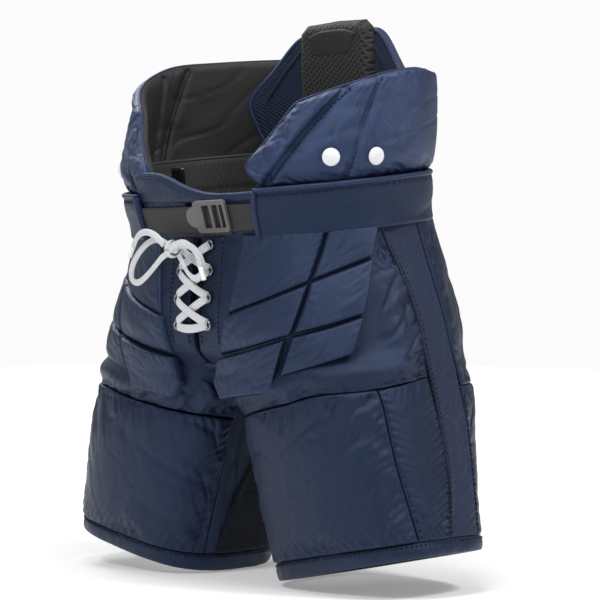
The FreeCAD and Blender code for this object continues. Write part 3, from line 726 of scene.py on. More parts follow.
WALL_ROWS = [
    level(0.012, 0.5, 45, 90, 135, 179.5),
    level(0.130, 0.5, 45, 90, 135, 179.5),
    level(0.285, 3, 45, 90, 135, 179.5),
]
KNIT_ROWS = [
    level(HEM_TOP + 0.002, 244, 268, 293),
    [(249, 0.085), (268, 0.088), (287, 0.085)],
    [(259, 0.148), (267, 0.154), (276, 0.148)],
]


def even_folds(depth, seed, size, turn, stretch):
    """The same folds all over a panel."""
    def folds(bearing, height, u, v):
        return depth * crumple(u, v, seed, size, turn, stretch)
    return folds


def hip_folds(seed):
    """Slanting drapes that flatten under the cushions and the belt, and a roll over the thigh."""
    def folds(bearing, height, u, v):
        low = smooth(0.29, 0.21, height)
        drop = smooth(0.38, 0.25, height)
        beside = smooth(52, 68, bearing)
        sag = 0.0046 * crumple(u, v, seed, 0.020, 14, 4) * low
        drape = (0.0020 + 0.0042 * beside) * crumple(u, v, seed + 11, 0.024, 62, 3.5)
        small = (0.0012 + 0.0014 * beside) * crumple(u, v, seed + 7, 0.010, 35, 2.6)
        roll = 0.0075 * np.exp(-(((v - 0.022) / 0.014) ** 2)) * smooth(95, 60, bearing)
        loose = 0.25 + 0.75 * beyond_chevrons(bearing, height)
        under_belt = smooth(0.382, 0.398, height)
        drawn = (sag + drape * (0.5 + 0.5 * drop) + small) * loose
        return drawn * (1 - under_belt) - 0.0012 * under_belt + roll
    return folds


def thigh_folds(seed):
    """Wide soft folds towards the top, small ones along the seams."""
    def folds(bearing, height, u, v):
        top = smooth(0.12, 0.20, height)
        foot = smooth(0.06, 0.02, height)
        wide = 0.0030 * crumple(u, v, seed, 0.034, 22, 2.2)
        small = 0.0015 * crumple(u, v, seed + 3, 0.011, 62, 3)
        edges = smooth(40, 66, bearing) + smooth(22, 4, bearing)
        return wide * (0.5 + 0.7 * top) + small * (0.4 + top + foot + 0.8 * edges)
    return folds


def upright_folds(seed, depth):
    def folds(bearing, height, u, v):
        upright = crumple(u, v, seed, 0.016, 80, 4)
        level_ones = crumple(u, v, seed + 2, 0.022, 12, 3)
        small = crumple(u, v, seed + 4, 0.009, 35, 2)
        return depth * (upright + 0.6 * level_ones + 0.3 * small)
    return folds


def rear_ease(bearing):
    """The cloth behind the seam lies a little closer than the padded front."""
    return -0.0055 * smooth(100, 118, bearing) * smooth(178, 160, bearing)


def eased(bearing, height, out=0.0):
    """The trousers' surface with that ease taken in."""
    return body(bearing, height, out + rear_ease(np.asarray(bearing, float)))


def beyond_chevrons(bearing, height):
    """1 where the hip cloth hangs free, 0 under the cushions and the belt."""
    bare = np.maximum(smooth(69, 77, bearing), smooth(0.232, 0.212, height))
    return bare * smooth(0.396, 0.378, height)


def legs_and_hips(side, seed):
    navy = [M["navy"], M["lining"]]
    thigh = panel("thigh_pad_cover_" + side, side, body, THIGH_ROWS, -0.0002, 0.0015, -0.008, navy,
                  edge=0.003, crown=0.0030, folds=thigh_folds(seed), puckers=(0.0022, 0.010, 0.013),
                  swell=(3.0, 0.02, 0.006))
    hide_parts("thigh_pad_" + side, "thigh_guard_" + side)
    hip = panel("hip_cover_" + side, side, body, HIP_ROWS, -0.0008, 0.0012, -0.009, navy,
                edge=0.003, crown=0.0010, folds=hip_folds(seed + 1), puckers=(0.0020, 0.011, 0.012),
                swell=(2.0, 0.03, 0.006), free=beyond_chevrons)
    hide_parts("hip_front_" + side, "hip_foam_" + side)
    flank = panel("side_cover_" + side, side, body, SIDE_ROWS, -0.0002, 0.0010, -0.008, navy,
                  edge=0.003, crown=0.0012, folds=upright_folds(seed + 2, 0.0022),
                  puckers=(0.0024, 0.009, 0.014))
    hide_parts("side_panel_" + side)
    mesh = panel("side_mesh_cover_" + side, side, eased, MESH_ROWS, -0.0010, 0.0004, -0.007,
                 [M["side_mesh"], M["lining"]], edge=0.003, folds=upright_folds(seed + 3, 0.0022),
                 puckers=(0.0016, 0.009, 0.010))
    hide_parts("side_mesh_" + side, "hip_side_" + side)
    seat = panel("seat_cover_" + side, side, eased, SEAT_ROWS, -0.0008, 0.0008, -0.008, navy,
                 edge=0.004, folds=upright_folds(seed + 4, 0.0026), puckers=(0.0018, 0.012, 0.011))
    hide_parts("seat_panel")
    rear = panel("leg_back_cover_" + side, side, eased, BACK_ROWS, -0.0008, 0.0008, -0.008, navy,
                 edge=0.004, folds=upright_folds(seed + 5, 0.0024), puckers=(0.0018, 0.011, 0.011))
    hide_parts("back_panel_" + side)
    inside = panel("leg_inner_cover_" + side, side, leg, INNER_ROWS, -0.0008, 0.0008, -0.008, navy,
                   edge=0.004, folds=upright_folds(seed + 6, 0.0018))
    knit = panel("leg_knit_gusset_" + side, side, leg, KNIT_ROWS, 0.0010, 0.0030, -0.001,
                 [M["gusset"]], edge=0.004, folds=upright_folds(seed + 6, 0.0018))
    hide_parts("inner_gusset_" + side)
    for thing in (thigh, hip, flank, mesh, seat, rear, inside, knit):
        follow_leg(thing)
    wall = panel("leg_lining_" + side, side, body, WALL_ROWS, -0.0105, -0.0120, -0.0078, [M["lining"]],
                 step=0.006)
    follow_leg(wall)


def hem_surface(bearing, height, out=0.0):
    """The leg's surface at the foot, with the same ease at the back."""
    ease = rear_ease((np.asarray(bearing, float) - LEG_FRONT) * 180 / (LEG_BACK - LEG_FRONT))
    return leg(bearing, height, out + ease)


def hem(side):
    """The folded band round the foot of the leg."""
    bearing = np.arange(0, 360, 1.5)
    section = [(-0.0002, HEM_TOP - 0.0003), (0.0012, 0.0170), (0.0018, 0.010), (0.0014, 0.003),
               (0.0005, 0.0005), (-0.004, 0.0), (-0.0078, 0.001), (-0.009, 0.006), (-0.009, 0.014),
               (-0.0085, HEM_TOP)]
    rings = []
    for out, height in section:
        ripple = 0.0009 * noise(bearing / 5, height * 90, 2.5) if out > 0 else 0
        rings.append(hem_surface(bearing, np.full(bearing.shape, height), out + ripple))
    rings = np.stack(rings, 1)
    faces = ring_faces(len(bearing), len(section), closed=True)
    run = np.cumsum(np.linalg.norm(rings[:, 0] - np.roll(rings[:, 0], 1, 0), axis=1))
    uvs = np.stack(np.meshgrid(run, np.linspace(0, 0.04, len(section)), indexing="ij"), -1)
    band = finish_mesh("hem_band_cover_" + side, rings, faces, uvs, [M["navy"]], side=side)
    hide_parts("hem_band_" + side)
    follow_leg(band)


def leg_stitching(side):
    rows = [
        ([(74.5, 0.026), (69.7, 0.122), (67.3, 0.213)], body, 0.0018),
        ([(66, 0.2225), (76, 0.2280), (86, 0.2340)], body, 0.0024),
        ([(2, 0.1725), (16.5, 0.1805), (34, 0.1935), (49.5, 0.2065), (65.6, 0.2135)], body, 0.0026),
        ([(86.2, 0.026), (89.1, 0.124), (85.4, 0.262), (82.2, 0.324), (77.4, 0.378)], body, 0.0018),
        ([(88.2, 0.026), (91.2, 0.124), (87.8, 0.262), (84.4, 0.324), (79.6, 0.378)], body, 0.0008),
        ([(104.0, 0.026), (104.5, 0.110), (104.2, 0.212)], eased, 0.0012),
    ]
    for number, (line, surface, out) in enumerate(rows):
        thread = stitches("leg_stitches%d_%s" % (number, side), side, surface, [line], out, M["stitch"])
        follow_leg(thread)
    ring = [(bearing, 0.0165) for bearing in range(0, 361, 12)]
    thread = stitches("hem_stitches_" + side, side, hem_surface, [ring], 0.0019, M["stitch"])
    follow_leg(thread)


# ---------------------------------------------------------------- crotch
def crotch():
    """The strap of strong cloth that passes between the legs."""
    path = [(-0.112, 0.240), (-0.098, 0.233), (-0.078, 0.229), (-0.040, 0.226), (0.010, 0.225),
            (0.060, 0.226), (0.100, 0.230), (0.126, 0.238)]
    half, thick = 0.024, 0.004

    def strap(across, along, out=0.0):
        place = between([(i / (len(path) - 1), *point) for i, point in enumerate(path)], along)
        across = np.asarray(across, float)
        return np.stack([across * half, place[..., 0], place[..., 1] - out + 0.002 * across**2], -1)

    rows = [level(share, -1, 0, 1) for share in (0, 0.5, 1)]
    cover = panel("crotch_cover", "left", strap, rows, 0.0, 0.002, -thick, [M["navy"], M["lining"]],
                  edge=0.005, folds=even_folds(0.0012, 31, 0.014, 5, 3))
    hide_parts("crotch_gusset")
    fasten(cover, "trunk")


# ---------------------------------------------------------------- hip chevrons
CHEVRONS = (
    # bottom row, top row, how far the cushion stands out
    ([(19.2, 0.3030), (34, 0.3190), (49.9, 0.3395)], level(0.398, 25.5, 41.5, 57.4), 0.0070),
    ([(50.6, 0.3405), (61, 0.3530), (71.3, 0.3635)], level(0.398, 58, 67, 76), 0.0070),
    ([(14.8, 0.2540), (28.5, 0.2630), (43.9, 0.2780)],
     [(18.2, 0.3010), (33, 0.3170), (49.8, 0.3375)], 0.0088),
    ([(44.5, 0.2790), (55, 0.2890), (65.6, 0.3010)],
     [(50.4, 0.3390), (61, 0.3512), (71.2, 0.3618)], 0.0088),
    ([(40.8, 0.2285), (51, 0.2410), (61.8, 0.2560)],
     [(44.3, 0.2766), (54.5, 0.2866), (65.3, 0.2990)], 0.0105),
)
RIGHT_FLATTER = 0.0025
FLAP_ROWS = [
    straight([(10.6, 0.222), (14.6, 0.203), (38.4, 0.212)]),
    [(13.5, 0.2500), (28, 0.2595), (42.4, 0.2742)],
]
CHEVRON_STITCHES = (
    # word in the name, the lines, how far out they lie on each side
    ("stitches", ([(20, 0.3065), (34.5, 0.3220), (49, 0.3425)],
                  [(51.5, 0.3440), (61, 0.3555), (70.5, 0.3660)]), {"left": 0.0078, "right": 0.0055}),
    ("low_stitches", ([(16, 0.2575), (29, 0.2660), (43, 0.2805)],
                      [(45.5, 0.2820), (55, 0.2920), (64.5, 0.3035)]), {"left": 0.0096, "right": 0.0073}),
)


def chevron_folds(seed):
    def folds(bearing, height, u, v):
        return 0.0011 * crumple(u, v, seed, 0.022, 35, 2.5) + 0.0007 * crumple(u, v, seed + 5, 0.009, 24, 3)
    return folds


def chevrons(side, seed):
    for number, (bottom, top, high) in enumerate(CHEVRONS):
        if side == "right":
            high = high - RIGHT_FLATTER
        block = panel("hip_chevron%d_%s" % (number, side), side, trunk, [bottom, top], 0.0012, high, 0.0005,
                      [M["chevron"]], edge=0.0038, crown=0.0030, step=FINE_STEP,
                      folds=chevron_folds(seed + number), puckers=(0.0010, 0.010, 0.007))
        fasten(block, "trunk")
        if number == 0:
            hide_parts("hip_chevrons_" + side)
    flap = panel("hip_flap_cover_" + side, side, trunk, FLAP_ROWS, 0.0030, 0.0108, 0.0016,
                 [M["chevron"]], edge=0.0038, crown=0.0030, step=FINE_STEP,
                 folds=chevron_folds(seed + 9), puckers=(0.0011, 0.010, 0.007))
    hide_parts("hip_flap_" + side)
    fasten(flap, side + "_flap")
    for word, lines, out in CHEVRON_STITCHES:
        thread = stitches("chevron_%s_%s" % (word, side), side, trunk, lines, out[side], M["stitch"])
        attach(thread, "trunk")


# ---------------------------------------------------------------- fly
PLACKET_OUT = 0.003
EYELET_BEARING = 8.6
EYELET_ROWS = (0.290, 0.323, 0.356, 0.387)


def fly():
    for side in SIDES:
        rows = [level(0.264, 2.7, 8.5, 14.5), level(0.330, 2.7, 9, 15.5), level(0.398, 2.7, 9.5, 16.5)]
        placket = panel("fly_placket_cover_" + side, side, trunk, rows, 0.0002, PLACKET_OUT - 0.0006, -0.001,
                        [M["navy"]], edge=0.004, step=FINE_STEP,
                        folds=even_folds(0.0009, 41, 0.012, 75, 3), puckers=(0.0007, 0.008, 0.004))
        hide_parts("fly_placket_" + side)
        fasten(placket, "trunk")
        lines = [[(3.9, 0.268), (3.9, 0.394)], [(13.4, 0.268), (15.2, 0.394)]]
        thread = stitches("placket_stitches_" + side, side, trunk, lines, PLACKET_OUT, M["stitch"])
        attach(thread, "trunk")
    rows = [level(0.262, -9, 0, 9), level(0.396, -9, 0, 9)]
    tongue = panel("fly_tongue_cover", "left", trunk, rows, -0.0075, -0.0065, -0.0095, [M["gusset"]],
                   edge=0.003, folds=even_folds(0.0010, 51, 0.012, 80, 3))
    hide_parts("fly_tongue")
    fasten(tongue, "trunk")


LACE_HALF, LACE_THICK = 0.0037, 0.0010


def lacing():
    """A bar across the foot of the fly, then crosses between the eyelets."""
    base = PLACKET_OUT + 0.0055
    parts = []

    def run(start, end, rise, sag=0.0):
        share = np.linspace(0, 1, 14)
        bearing = start[0] + (end[0] - start[0]) * share
        height = start[1] + (end[1] - start[1]) * share - sag * np.sin(math.pi * share)
        out = base + rise * np.sin(math.pi * share) - 0.0035 * (np.abs(2 * share - 1) ** 6)
        here = trunk(bearing, height, out)
        above = trunk(bearing, height, out + 0.002)
        parts.append(sweep(here, above - here, oval(LACE_HALF * 1.25, LACE_THICK, 12, 3)))

    foot = EYELET_ROWS[0]
    run((-EYELET_BEARING, foot), (EYELET_BEARING, foot), 0.0020, 0.0040)
    for low, high in zip(EYELET_ROWS, EYELET_ROWS[1:]):
        run((-EYELET_BEARING, low + 0.003), (EYELET_BEARING, high), 0.0004)
        run((EYELET_BEARING, low + 0.003), (-EYELET_BEARING, high), 0.0030)
    lace = finish_mesh("fly_lace_runs", *merged(parts), [M["lace"]])
    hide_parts("fly_lacing")
    fasten(lace, "trunk")


# The bow's routes from the knot outward, in metres.
BOW = {
    "lace_loop_right": [
        (-0.023, -0.153, 0.373), (-0.036, -0.153, 0.380), (-0.054, -0.152, 0.377), (-0.073, -0.150, 0.365),
        (-0.088, -0.147, 0.349), (-0.088, -0.147, 0.334), (-0.074, -0.150, 0.330), (-0.058, -0.152, 0.338),
        (-0.042, -0.153, 0.350), (-0.031, -0.153, 0.360), (-0.023, -0.153, 0.363),
    ],
    "lace_loop_left": [
        (-0.005, -0.153, 0.371), (0.008, -0.153, 0.373), (0.022, -0.153, 0.366), (0.032, -0.153, 0.353),
        (0.032, -0.153, 0.340), (0.022, -0.153, 0.334), (0.010, -0.153, 0.340), (0.002, -0.153, 0.352),
        (-0.005, -0.153, 0.362),
    ],
    "lace_tail_right": [
        (-0.020, -0.161, 0.372), (-0.029, -0.163, 0.382), (-0.042, -0.163, 0.387), (-0.056, -0.161, 0.387),
        (-0.068, -0.158, 0.381), (-0.076, -0.155, 0.372),
    ],
    "lace_tail_left": [
        (-0.008, -0.164, 0.366), (0.000, -0.164, 0.372), (0.012, -0.164, 0.375), (0.025, -0.163, 0.370),
        (0.033, -0.162, 0.360), (0.037, -0.161, 0.348),
    ],
}
KNOT = (-0.014, -0.153, 0.368)
# the turns of lace round the knot: tilt in degrees, half width, depth and height, and shift to the left
KNOT_WRAPS = ((12, 0.0035, 0.0085, 0.0088, -0.001), (-28, 0.0075, 0.0075, 0.0070, 0.001))
CORE_HALF_LENGTH, CORE_RADIUS, CORE_SIDES, CORE_PATTERN = 0.0095, 0.0058, 16, 0.006


def smooth_route(name, points):
    """Points along a smooth NURBS line through a route's control points."""
    curve = bpy.data.curves.new(name, "CURVE")
    curve.dimensions = "3D"
    curve.resolution_u = 12
    spline = curve.splines.new("NURBS")
    spline.points.add(len(points) - 1)
    for control, point in zip(spline.points, points):
        control.co = (*point, 1)
    spline.order_u = 3
    spline.use_endpoint_u = True
    line = bpy.data.objects.new(name, curve)
    bpy.context.collection.objects.link(line)
    bpy.context.view_layer.update()
    mesh = bpy.data.meshes.new_from_object(line)
    points = np.array([vertex.co for vertex in mesh.vertices], float)
    bpy.data.objects.remove(line)
    bpy.data.meshes.remove(mesh)
    return points


def bow():
    for name, route in BOW.items():
        path = smooth_route(name + "_route", route)
        turn = np.linspace(0, 1, len(path))[:, None]
        outward = np.array([0, -1, 0]) + np.array([0.5, 0, 0.2]) * np.sin(turn * math.pi * 2)
        shape = sweep(path, outward, oval(LACE_HALF, LACE_THICK, 12, 3))
        lace = finish_mesh(name + "_lace", *shape, [M["lace"]])
        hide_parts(name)
        fasten(lace, "trunk")


def knot():
    """A round core with two turns of lace about it."""
    parts = []
    turns = np.linspace(0, 2 * math.pi, 28)
    for tilt, wide, deep, tall, shift in KNOT_WRAPS:
        a = math.radians(tilt)
        ring = np.stack([wide * 0.3 * np.sin(2 * turns), -deep * np.cos(turns), tall * np.sin(turns)], 1)
        ring = ring @ np.array([[math.cos(a), 0, math.sin(a)], [0, 1, 0], [-math.sin(a), 0, math.cos(a)]])
        outward = ring / np.linalg.norm(ring, axis=1)[:, None]
        parts.append(sweep(ring[:-1] + np.array(KNOT) + (shift, 0, 0), outward[:-1],
                           oval(LACE_HALF, LACE_THICK * 1.2, 12, 3), closed=True))
    turns = np.linspace(-math.pi / 2, math.pi / 2, 12)
    core = np.stack([CORE_HALF_LENGTH * np.sin(turns), 0 * turns, 0 * turns], 1) + np.array(KNOT)
    radius = CORE_RADIUS * np.cos(turns * 0.93)
    rings, faces, uvs = sweep(core, (0, -1, 0), oval(1, 1, CORE_SIDES, 2))
    rings = rings.reshape(len(core), CORE_SIDES, 3)
    rings = core[:, None] + (rings - core[:, None]) * radius[:, None, None]
    parts.append((rings.reshape(-1, 3), faces, uvs * CORE_PATTERN))
    wraps = finish_mesh("lace_knot_wraps", *merged(parts), [M["lace"]])
    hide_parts("lace_knot")
    fasten(wraps, "trunk")


# ---------------------------------------------------------------- belt
BELT_LOW, BELT_HIGH = 0.402, 0.432
SLEEVE_ROWS = [
    level(0.393, 33, 82, 131, 179.6),
    [(34.5, 0.4445), (83, 0.4455), (131, 0.446), (179.6, 0.446)],
]


def sleeve_surface(bearing, height, out=0.0):
    """The trunk's surface, drawn in at the back and at the belt's lower edge beside the hip."""
    bearing, height = np.asarray(bearing, float), np.asarray(height, float)
    tuck = -0.0070 * smooth(0.430, 0.393, height) * smooth(70, 110, bearing)
    return trunk(bearing, height, out + rear_ease(bearing) + tuck)


def webbing_folds(bearing, height, u, v):
    return 0.0006 * noise(u / 0.03, v / 0.04, 3.5)


def belt():
    top_line = [(34.5, 0.4452), (83, 0.4462), (131, 0.4467), (179.6, 0.4467)]
    end_line = [(33.1, 0.3945), (33.6, 0.420), (34.5, 0.444)]
    seam = [(33, 0.4400), (82, 0.4410), (179, 0.4415)]
    stitched = [(36, 0.4388), (70, 0.4395), (110, 0.4400), (179, 0.4402)]
    for side in SIDES:
        sleeve = panel("belt_sleeve_cover_" + side, side, sleeve_surface, SLEEVE_ROWS, 0.0044, 0.0085, 0.0040,
                       [M["belt"]], edge=0.005, crown=0.0010, folds=even_folds(0.0015, 61, 0.022, 8, 4),
                       grooves=[(seam, 0.0022, 0.0016)], puckers=(0.0008, 0.010, 0.006))
        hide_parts("belt_sleeve_" + side)
        fasten(sleeve, "trunk")
        top, outward = line_on(sleeve_surface, top_line, 0.0058)
        edge = piping("belt_sleeve_top_binding_" + side, side, top, outward, 0.0030, 0.0040, M["binding"])
        fasten(edge, "trunk")
        end, outward = line_on(sleeve_surface, end_line, 0.0066)
        edge = piping("belt_sleeve_end_binding_" + side, side, end, outward, 0.0034, 0.0044, M["binding"])
        fasten(edge, "trunk")
        thread = stitches("belt_sleeve_stitches_" + side, side, sleeve_surface, [stitched], 0.0084,
                          M["stitch"])
        fasten(thread, "trunk")
    for side, first in (("right", -8.2), ("left", 9.2)):
        rows = [level(height, first, 22, 44) for height in (BELT_LOW, BELT_HIGH)]
        strap = panel("webbing_strap_" + side, side, trunk, rows, 0.0034, 0.0046, 0.0030, [M["webbing"]],
                      edge=0.0018, step=0.002, folds=webbing_folds)
        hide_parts("belt_webbing_" + side)
        fasten(strap, "trunk")
    rows = [[(-15, BELT_LOW - 0.005), (3, BELT_LOW - 0.005), (21, BELT_LOW - 0.004)],
            [(-15, BELT_HIGH - 0.006), (3, BELT_HIGH - 0.006), (21, BELT_HIGH - 0.004)]]
    tail = panel("webbing_tail", "left", trunk, rows, 0.0020, 0.0029, 0.0014, [M["webbing"]],
                 edge=0.0018, step=0.002)
    fasten(tail, "trunk")


# ---------------------------------------------------------------- wings
WING_BACK = 166
WING_ROWS = [
    level(0.447, 37, 69, 101, 134, WING_BACK),
    [(31.2, 0.471), (62, 0.475), (96, 0.478), (130, 0.480), (WING_BACK, 0.481)],
    [(42.3, 0.503), (66, 0.509), (97, 0.515), (130, 0.519), (WING_BACK, 0.521)],
]
WING_TOP = {
    "left": [(53.5, 0.536), (62.5, 0.544), (73, 0.552), (84, 0.560), (97, 0.563), (110, 0.560), (136, 0.556),
             (WING_BACK, 0.554)],
    "right": [(53.5, 0.541), (62.5, 0.554), (72, 0.566), (84, 0.580), (98, 0.592), (114, 0.593), (138, 0.590),
              (WING_BACK, 0.583)],
}
WING_FRONT = [(37, 0.447), (31.2, 0.471), (36, 0.486), (42.3, 0.503), (48, 0.520)]
BOLD_GROOVE = [(70.5, 0.547), (55, 0.503), (39.5, 0.452)]
THIN_GROOVE = [(81.5, 0.555), (74, 0.503), (67, 0.449)]
LINING_BOLD = {side: [(102.5, high), (93, 0.520), (84.5, 0.455)]
               for side, high in (("left", 0.554), ("right", 0.586))}
LINING_THIN = {side: [(91, high), (86, 0.520), (80.5, 0.462)]
               for side, high in (("left", 0.552), ("right", 0.580))}
BUTTONS = ((62.5, 0.475), (77.5, 0.472))


def wing(bearing, height, out=0.0):
    """The trunk's surface above the belt, where the wing's front corner leans in at its top."""
    lean = 0.017 * smooth(0.455, 0.550, height) * smooth(100, 60, np.asarray(bearing, float))
    return trunk(bearing, height, out - lean)


def wing_folds(seed):
    def folds(bearing, height, u, v):
        calm = 0.6 + 0.5 * smooth(0.52, 0.46, height)
        near = smooth(120, 80, bearing)
        slant = crumple(u, v, seed, 0.015, -38, 3.0)
        return calm * (0.0020 * crumple(u, v, seed + 4, 0.026, 10, 3.5) + 0.0018 * slant * near)
    return folds


def beside_grooves(bearing, height):
    """0 in the wing's stitched grooves, 1 away from them."""
    held = np.maximum(groove(bearing, height, BOLD_GROOVE, wing, 0.008),
                      groove(bearing, height, THIN_GROOVE, wing, 0.007))
    return 1 - held


def beside(line, shift):
    """The same line, a little further round."""
    return [(bearing + shift, height) for bearing, height in line]


def wings(side, seed):
    rider = side + "_wing"
    rows = WING_ROWS + [WING_TOP[side]]
    shell = panel("wing_cover_" + side, side, wing, rows, -0.0065, 0.0010, -0.0075, [M["wing"]],
                  edge=0.009, crown=0.0025, folds=wing_folds(seed),
                  grooves=[(BOLD_GROOVE, 0.0052, 0.0042), (THIN_GROOVE, 0.0030, 0.0028)],
                  puckers=(0.0015, 0.012, 0.012), swell=(2.0, 0.02, 0.004), free=beside_grooves)
    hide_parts("wing_shell_" + side, "wing_foam_" + side)
    lining = panel("wing_inner_cover_" + side, side, wing, rows, -0.0078, -0.0150, -0.0070, [M["lining"]],
                   edge=0.010, crown=-0.0015, folds=even_folds(-0.0016, seed + 8, 0.024, 20, 2.5),
                   grooves=[(LINING_BOLD[side], -0.0062, 0.0042), (LINING_THIN[side], -0.0044, 0.0030)],
                   puckers=(0.0010, 0.012, 0.008))
    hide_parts("wing_lining_" + side)
    points, outward = line_on(wing, WING_FRONT + WING_TOP[side], -0.0068, 0.004)
    edge = piping("wing_edge_piping_" + side, side, points, outward, 0.0012, 0.0020, M["binding"])
    lines = [beside(BOLD_GROOVE, 1.0), beside(THIN_GROOVE, 0.7)]
    thread = stitches("wing_stitches_" + side, side, wing, lines, 0.0004, M["stitch"])
    lines = [beside(LINING_BOLD[side], 1.0)]
    inner = stitches("wing_inner_stitches_" + side, side, wing, lines, -0.0126, M["stitch"])
    fasten(shell, rider)
    fasten(lining, rider)
    fasten(edge, rider)
    fasten(thread, rider)
    fasten(inner, rider)


# radius and height over the cloth, from the top of the dome down to the washer
BUTTON = [(0.0, 0.0066), (0.0030, 0.0064), (0.0058, 0.0058), (0.0080, 0.0047), (0.0093, 0.0035),
          (0.0097, 0.0028), (0.0093, 0.0022), (0.0060, 0.0019), (0.0038, 0.0016), (0.0036, -0.0006),
          (0.0062, -0.0009), (0.0062, -0.0016), (0.0, -0.0018)]
BUTTON_OUT = 0.0030


def buttons(side):
    """Domed buttons for braces, each on a short neck with a washer under it."""
    parts = []
    sides = 40
    for bearing, height in BUTTONS:
        here = wing(bearing, height, BUTTON_OUT)
        round_it = wing(bearing + 1, height, BUTTON_OUT) - here
        up_it = wing(bearing, height + 0.001, BUTTON_OUT) - here
        outward = np.cross(round_it, up_it)
        outward /= np.linalg.norm(outward)
        first = np.cross(outward, (0, 0, 1))
        first /= np.linalg.norm(first)
        second = np.cross(outward, first)
        points, faces = [here + outward * BUTTON[0][1]], []
        for radius, high in BUTTON[1:-1]:
            for k in range(sides):
                a = 2 * math.pi * k / sides
                points.append(here + outward * high + (first * math.cos(a) + second * math.sin(a)) * radius)
        points.append(here + outward * BUTTON[-1][1])
        rows = len(BUTTON) - 2
        for k in range(sides):
            n = (k + 1) % sides
            faces.append((0, 1 + k, 1 + n))
            for row in range(rows - 1):
                a = 1 + row * sides
                faces.append((a + k, a + sides + k, a + sides + n, a + n))
            a = 1 + (rows - 1) * sides
            faces.append((a + k, len(points) - 1, a + n))
        points = np.array(points)
        parts.append((points, faces, points[:, :2]))
    made = finish_mesh("brace_buttons_" + side, *merged(parts), [M["white"]], side=side)
    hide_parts("suspender_buttons_" + side)
    fasten(made, side + "_wing")


# ---------------------------------------------------------------- inside the waist
BAND_OUT = -0.0175


def waist_inside():
    """The soft band round the waist, and the lining of the hips and seat under it."""
    for side in SIDES:
        rows = [level(height, 62, 101, 140, 179.6) for height in (0.402, 0.478)]
        band = panel("waist_band_cover_" + side, side, trunk, rows, BAND_OUT - 0.004, BAND_OUT - 0.0075,
                     BAND_OUT, [M["inner_mesh"]], edge=0.007, crown=-0.001,
                     grooves=[([(62, 0.440), (179, 0.440)], -0.002, 0.003)])
        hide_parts("waist_band_" + side)
        fasten(band, "trunk")
        points, outward = line_on(trunk, rows[1], BAND_OUT - 0.003)
        edge = piping("waist_band_piping_" + side, side, points, outward, 0.0022, 0.0040, M["piping"])
        fasten(edge, "trunk")
        rows = [level(height, 14, 45, 78, 112, 146, 180) for height in (0.300, 0.440)]
        inside = panel("trunk_lining_" + side, side, trunk, rows, -0.0150, -0.0165, -0.0115, [M["lining"]],
                       edge=0.006, step=0.005, folds=even_folds(-0.0010, 71, 0.024, 70, 2.5))
        fasten(inside, "trunk")
        if side == "right":
            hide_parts("tailbone_pad")


def front_edge():
    """The bound edge above the fly, its rolled top and the strap inside it."""
    rows = [[(-37, 0.436), (-18, 0.436), (0, 0.435), (18, 0.434), (37, 0.434)],
            [(-37, 0.470), (-18, 0.467), (0, 0.4505), (15, 0.4425), (37, 0.4420)]]
    edge = panel("front_edge_cover", "left", trunk, rows, -0.002, 0.0032, -0.008, [M["navy"], M["lining"]],
                 edge=0.005, step=FINE_STEP, folds=even_folds(0.0010, 81, 0.012, 80, 3))
    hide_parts("front_binding")
    fasten(edge, "trunk")
    points, outward = line_on(trunk, rows[1], -0.0025)
    roll = piping("front_edge_roll", "left", points, outward, 0.0030, 0.0040, M["binding"])
    fasten(roll, "trunk")
    rows = [level(height, -74, -50, -27) for height in (0.450, 0.464)]
    strap = panel("inner_strap_cover", "left", trunk, rows, -0.0265, -0.0278, -0.0258, [M["webbing"]],
                  edge=0.0015, step=0.002)
    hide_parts("inner_strap")
    fasten(strap, "trunk")


# ---------------------------------------------------------------- spine pad
SPINE_ROWS = [
    level(0.482, 134, 157, 180, 203, 226),
    level(0.512, 129, 154, 180, 206, 231),
    level(0.543, 126.5, 153, 180, 207, 233.5),
    [(138, 0.577), (159, 0.580), (180, 0.580), (201, 0.580), (222, 0.577)],
    [(151, 0.610), (165, 0.614), (180, 0.615), (195, 0.614), (209, 0.610)],
]
PILLOW_ROWS = [
    level(0.486, 151, 165, 180, 195, 206.5),
    level(0.560, 150, 165, 180, 195, 206.5),
    straight([(152.5, 0.618), (158, 0.627), (180, 0.629), (202, 0.627), (206.5, 0.618)]),
]
WELT = [(137, 0.497), (134, 0.520), (132.5, 0.540), (142.5, 0.572), (152, 0.596)]


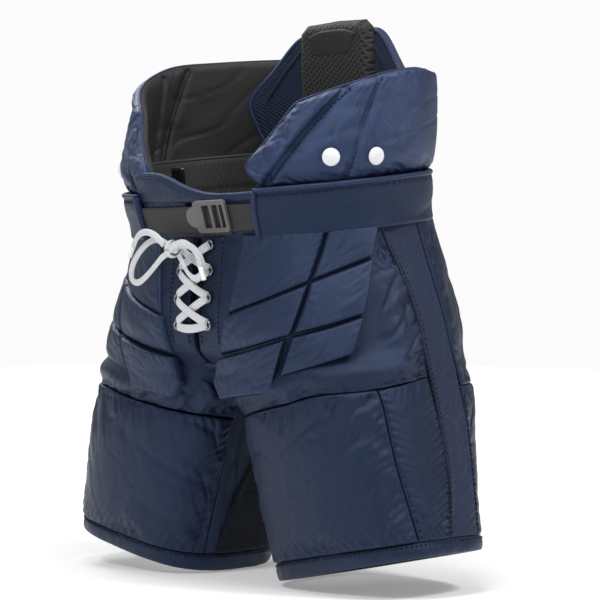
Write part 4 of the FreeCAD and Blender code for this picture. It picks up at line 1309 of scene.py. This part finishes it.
def spine_pad():
    plate = panel("spine_plate_cover", "left", trunk, SPINE_ROWS, -0.0185, -0.0175, -0.0212, [M["navy"]],
                  edge=0.006)
    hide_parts("spine_plate")
    other = [(360 - bearing, height) for bearing, height in WELT]
    knit = panel("spine_knit_cover", "left", trunk, SPINE_ROWS, -0.0215, -0.0275, -0.0212, [M["knit"]],
                 edge=0.008, crown=-0.002, grooves=[(WELT, 0.0022, 0.0022), (other, 0.0022, 0.0022)])
    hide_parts("spine_foam")
    pillow = panel("spine_pillow_cover", "left", trunk, PILLOW_ROWS, -0.0290, -0.0405, -0.0285, [M["pillow"]],
                   edge=0.011, crown=-0.0030)
    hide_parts("spine_pillow")
    rows = [[(164, 0.590), (172, 0.588), (180, 0.588), (188, 0.588), (196, 0.590)],
            [(158.5, 0.613), (169, 0.618), (180, 0.619), (191, 0.618), (200, 0.613)]]
    patch = panel("spine_plain_patch", "left", trunk, rows, -0.0418, -0.0434, -0.0390, [M["patch"]],
                  edge=0.003, step=FINE_STEP)
    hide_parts("spine_patch")
    outline = [row[0] for row in SPINE_ROWS] + SPINE_ROWS[-1][1:-1]
    outline += [row[-1] for row in reversed(SPINE_ROWS)]
    points, outward = line_on(trunk, outline, -0.0220, 0.004)
    edge = piping("spine_plate_binding", "left", points, outward, 0.0034, 0.0050, M["binding"])
    for thing, word, fill in ((plate, "navy_nylon", None), (knit, "navy_mesh", 0.5), (patch, "patch", None),
                              (pillow, "black_mesh", 0.7), (edge, "navy_binding", None)):
        fasten(thing, "spine_pad")


# ---------------------------------------------------------------- CAD pieces that stay
def carried_over():
    finishes = {"eyelets": "metal", "ladder_lock": "grey", "inner_clip": "black", "aglets": "white"}
    for name, word in finishes.items():
        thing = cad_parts[name]
        for number in range(len(thing.material_slots)):
            thing.material_slots[number].material = M[word]
        if not thing.material_slots:
            thing.data.materials.append(M[word])


def floor():
    mesh = bpy.data.meshes.new("floor")
    half = 6.0
    corners = [(-half, -half, 0), (half, -half, 0), (half, half, 0), (-half, half, 0)]
    mesh.from_pydata(corners, [], [(0, 1, 2, 3)])
    ground = bpy.data.objects.new("floor", mesh)
    material, tree, shader = new_material("pale_floor", 0.7, 0.2)
    shader.inputs["Base Color"].default_value = (0.86, 0.86, 0.86, 1)
    shader.inputs["Emission Color"].default_value = (1, 1, 1, 1)
    # painted light: the floor glows, least near the lamps and more away from them, so that it fades to the
    # white of the backdrop
    place = node(tree, "ShaderNodeTexCoord").outputs["Object"]
    distance = node(tree, "ShaderNodeVectorMath", {0: place}, operation="LENGTH").outputs["Value"]
    fade = ranged(tree, distance, from_min=0.5, from_max=3.0, to_min=0.25, to_max=0.85)
    tree.links.new(fade, shader.inputs["Emission Strength"])
    mesh.materials.append(material)
    bpy.context.collection.objects.link(ground)
    ground.location.z = -0.0012


camera_and_light()
bow()
knot()
for side, seed in (("left", 3), ("right", 17)):
    legs_and_hips(side, seed)
    hem(side)
    leg_stitching(side)
    chevrons(side, seed + 40)
    wings(side, seed + 60)
    buttons(side)
crotch()
fly()
lacing()
belt()
waist_inside()
front_edge()
spine_pad()
carried_over()
floor()
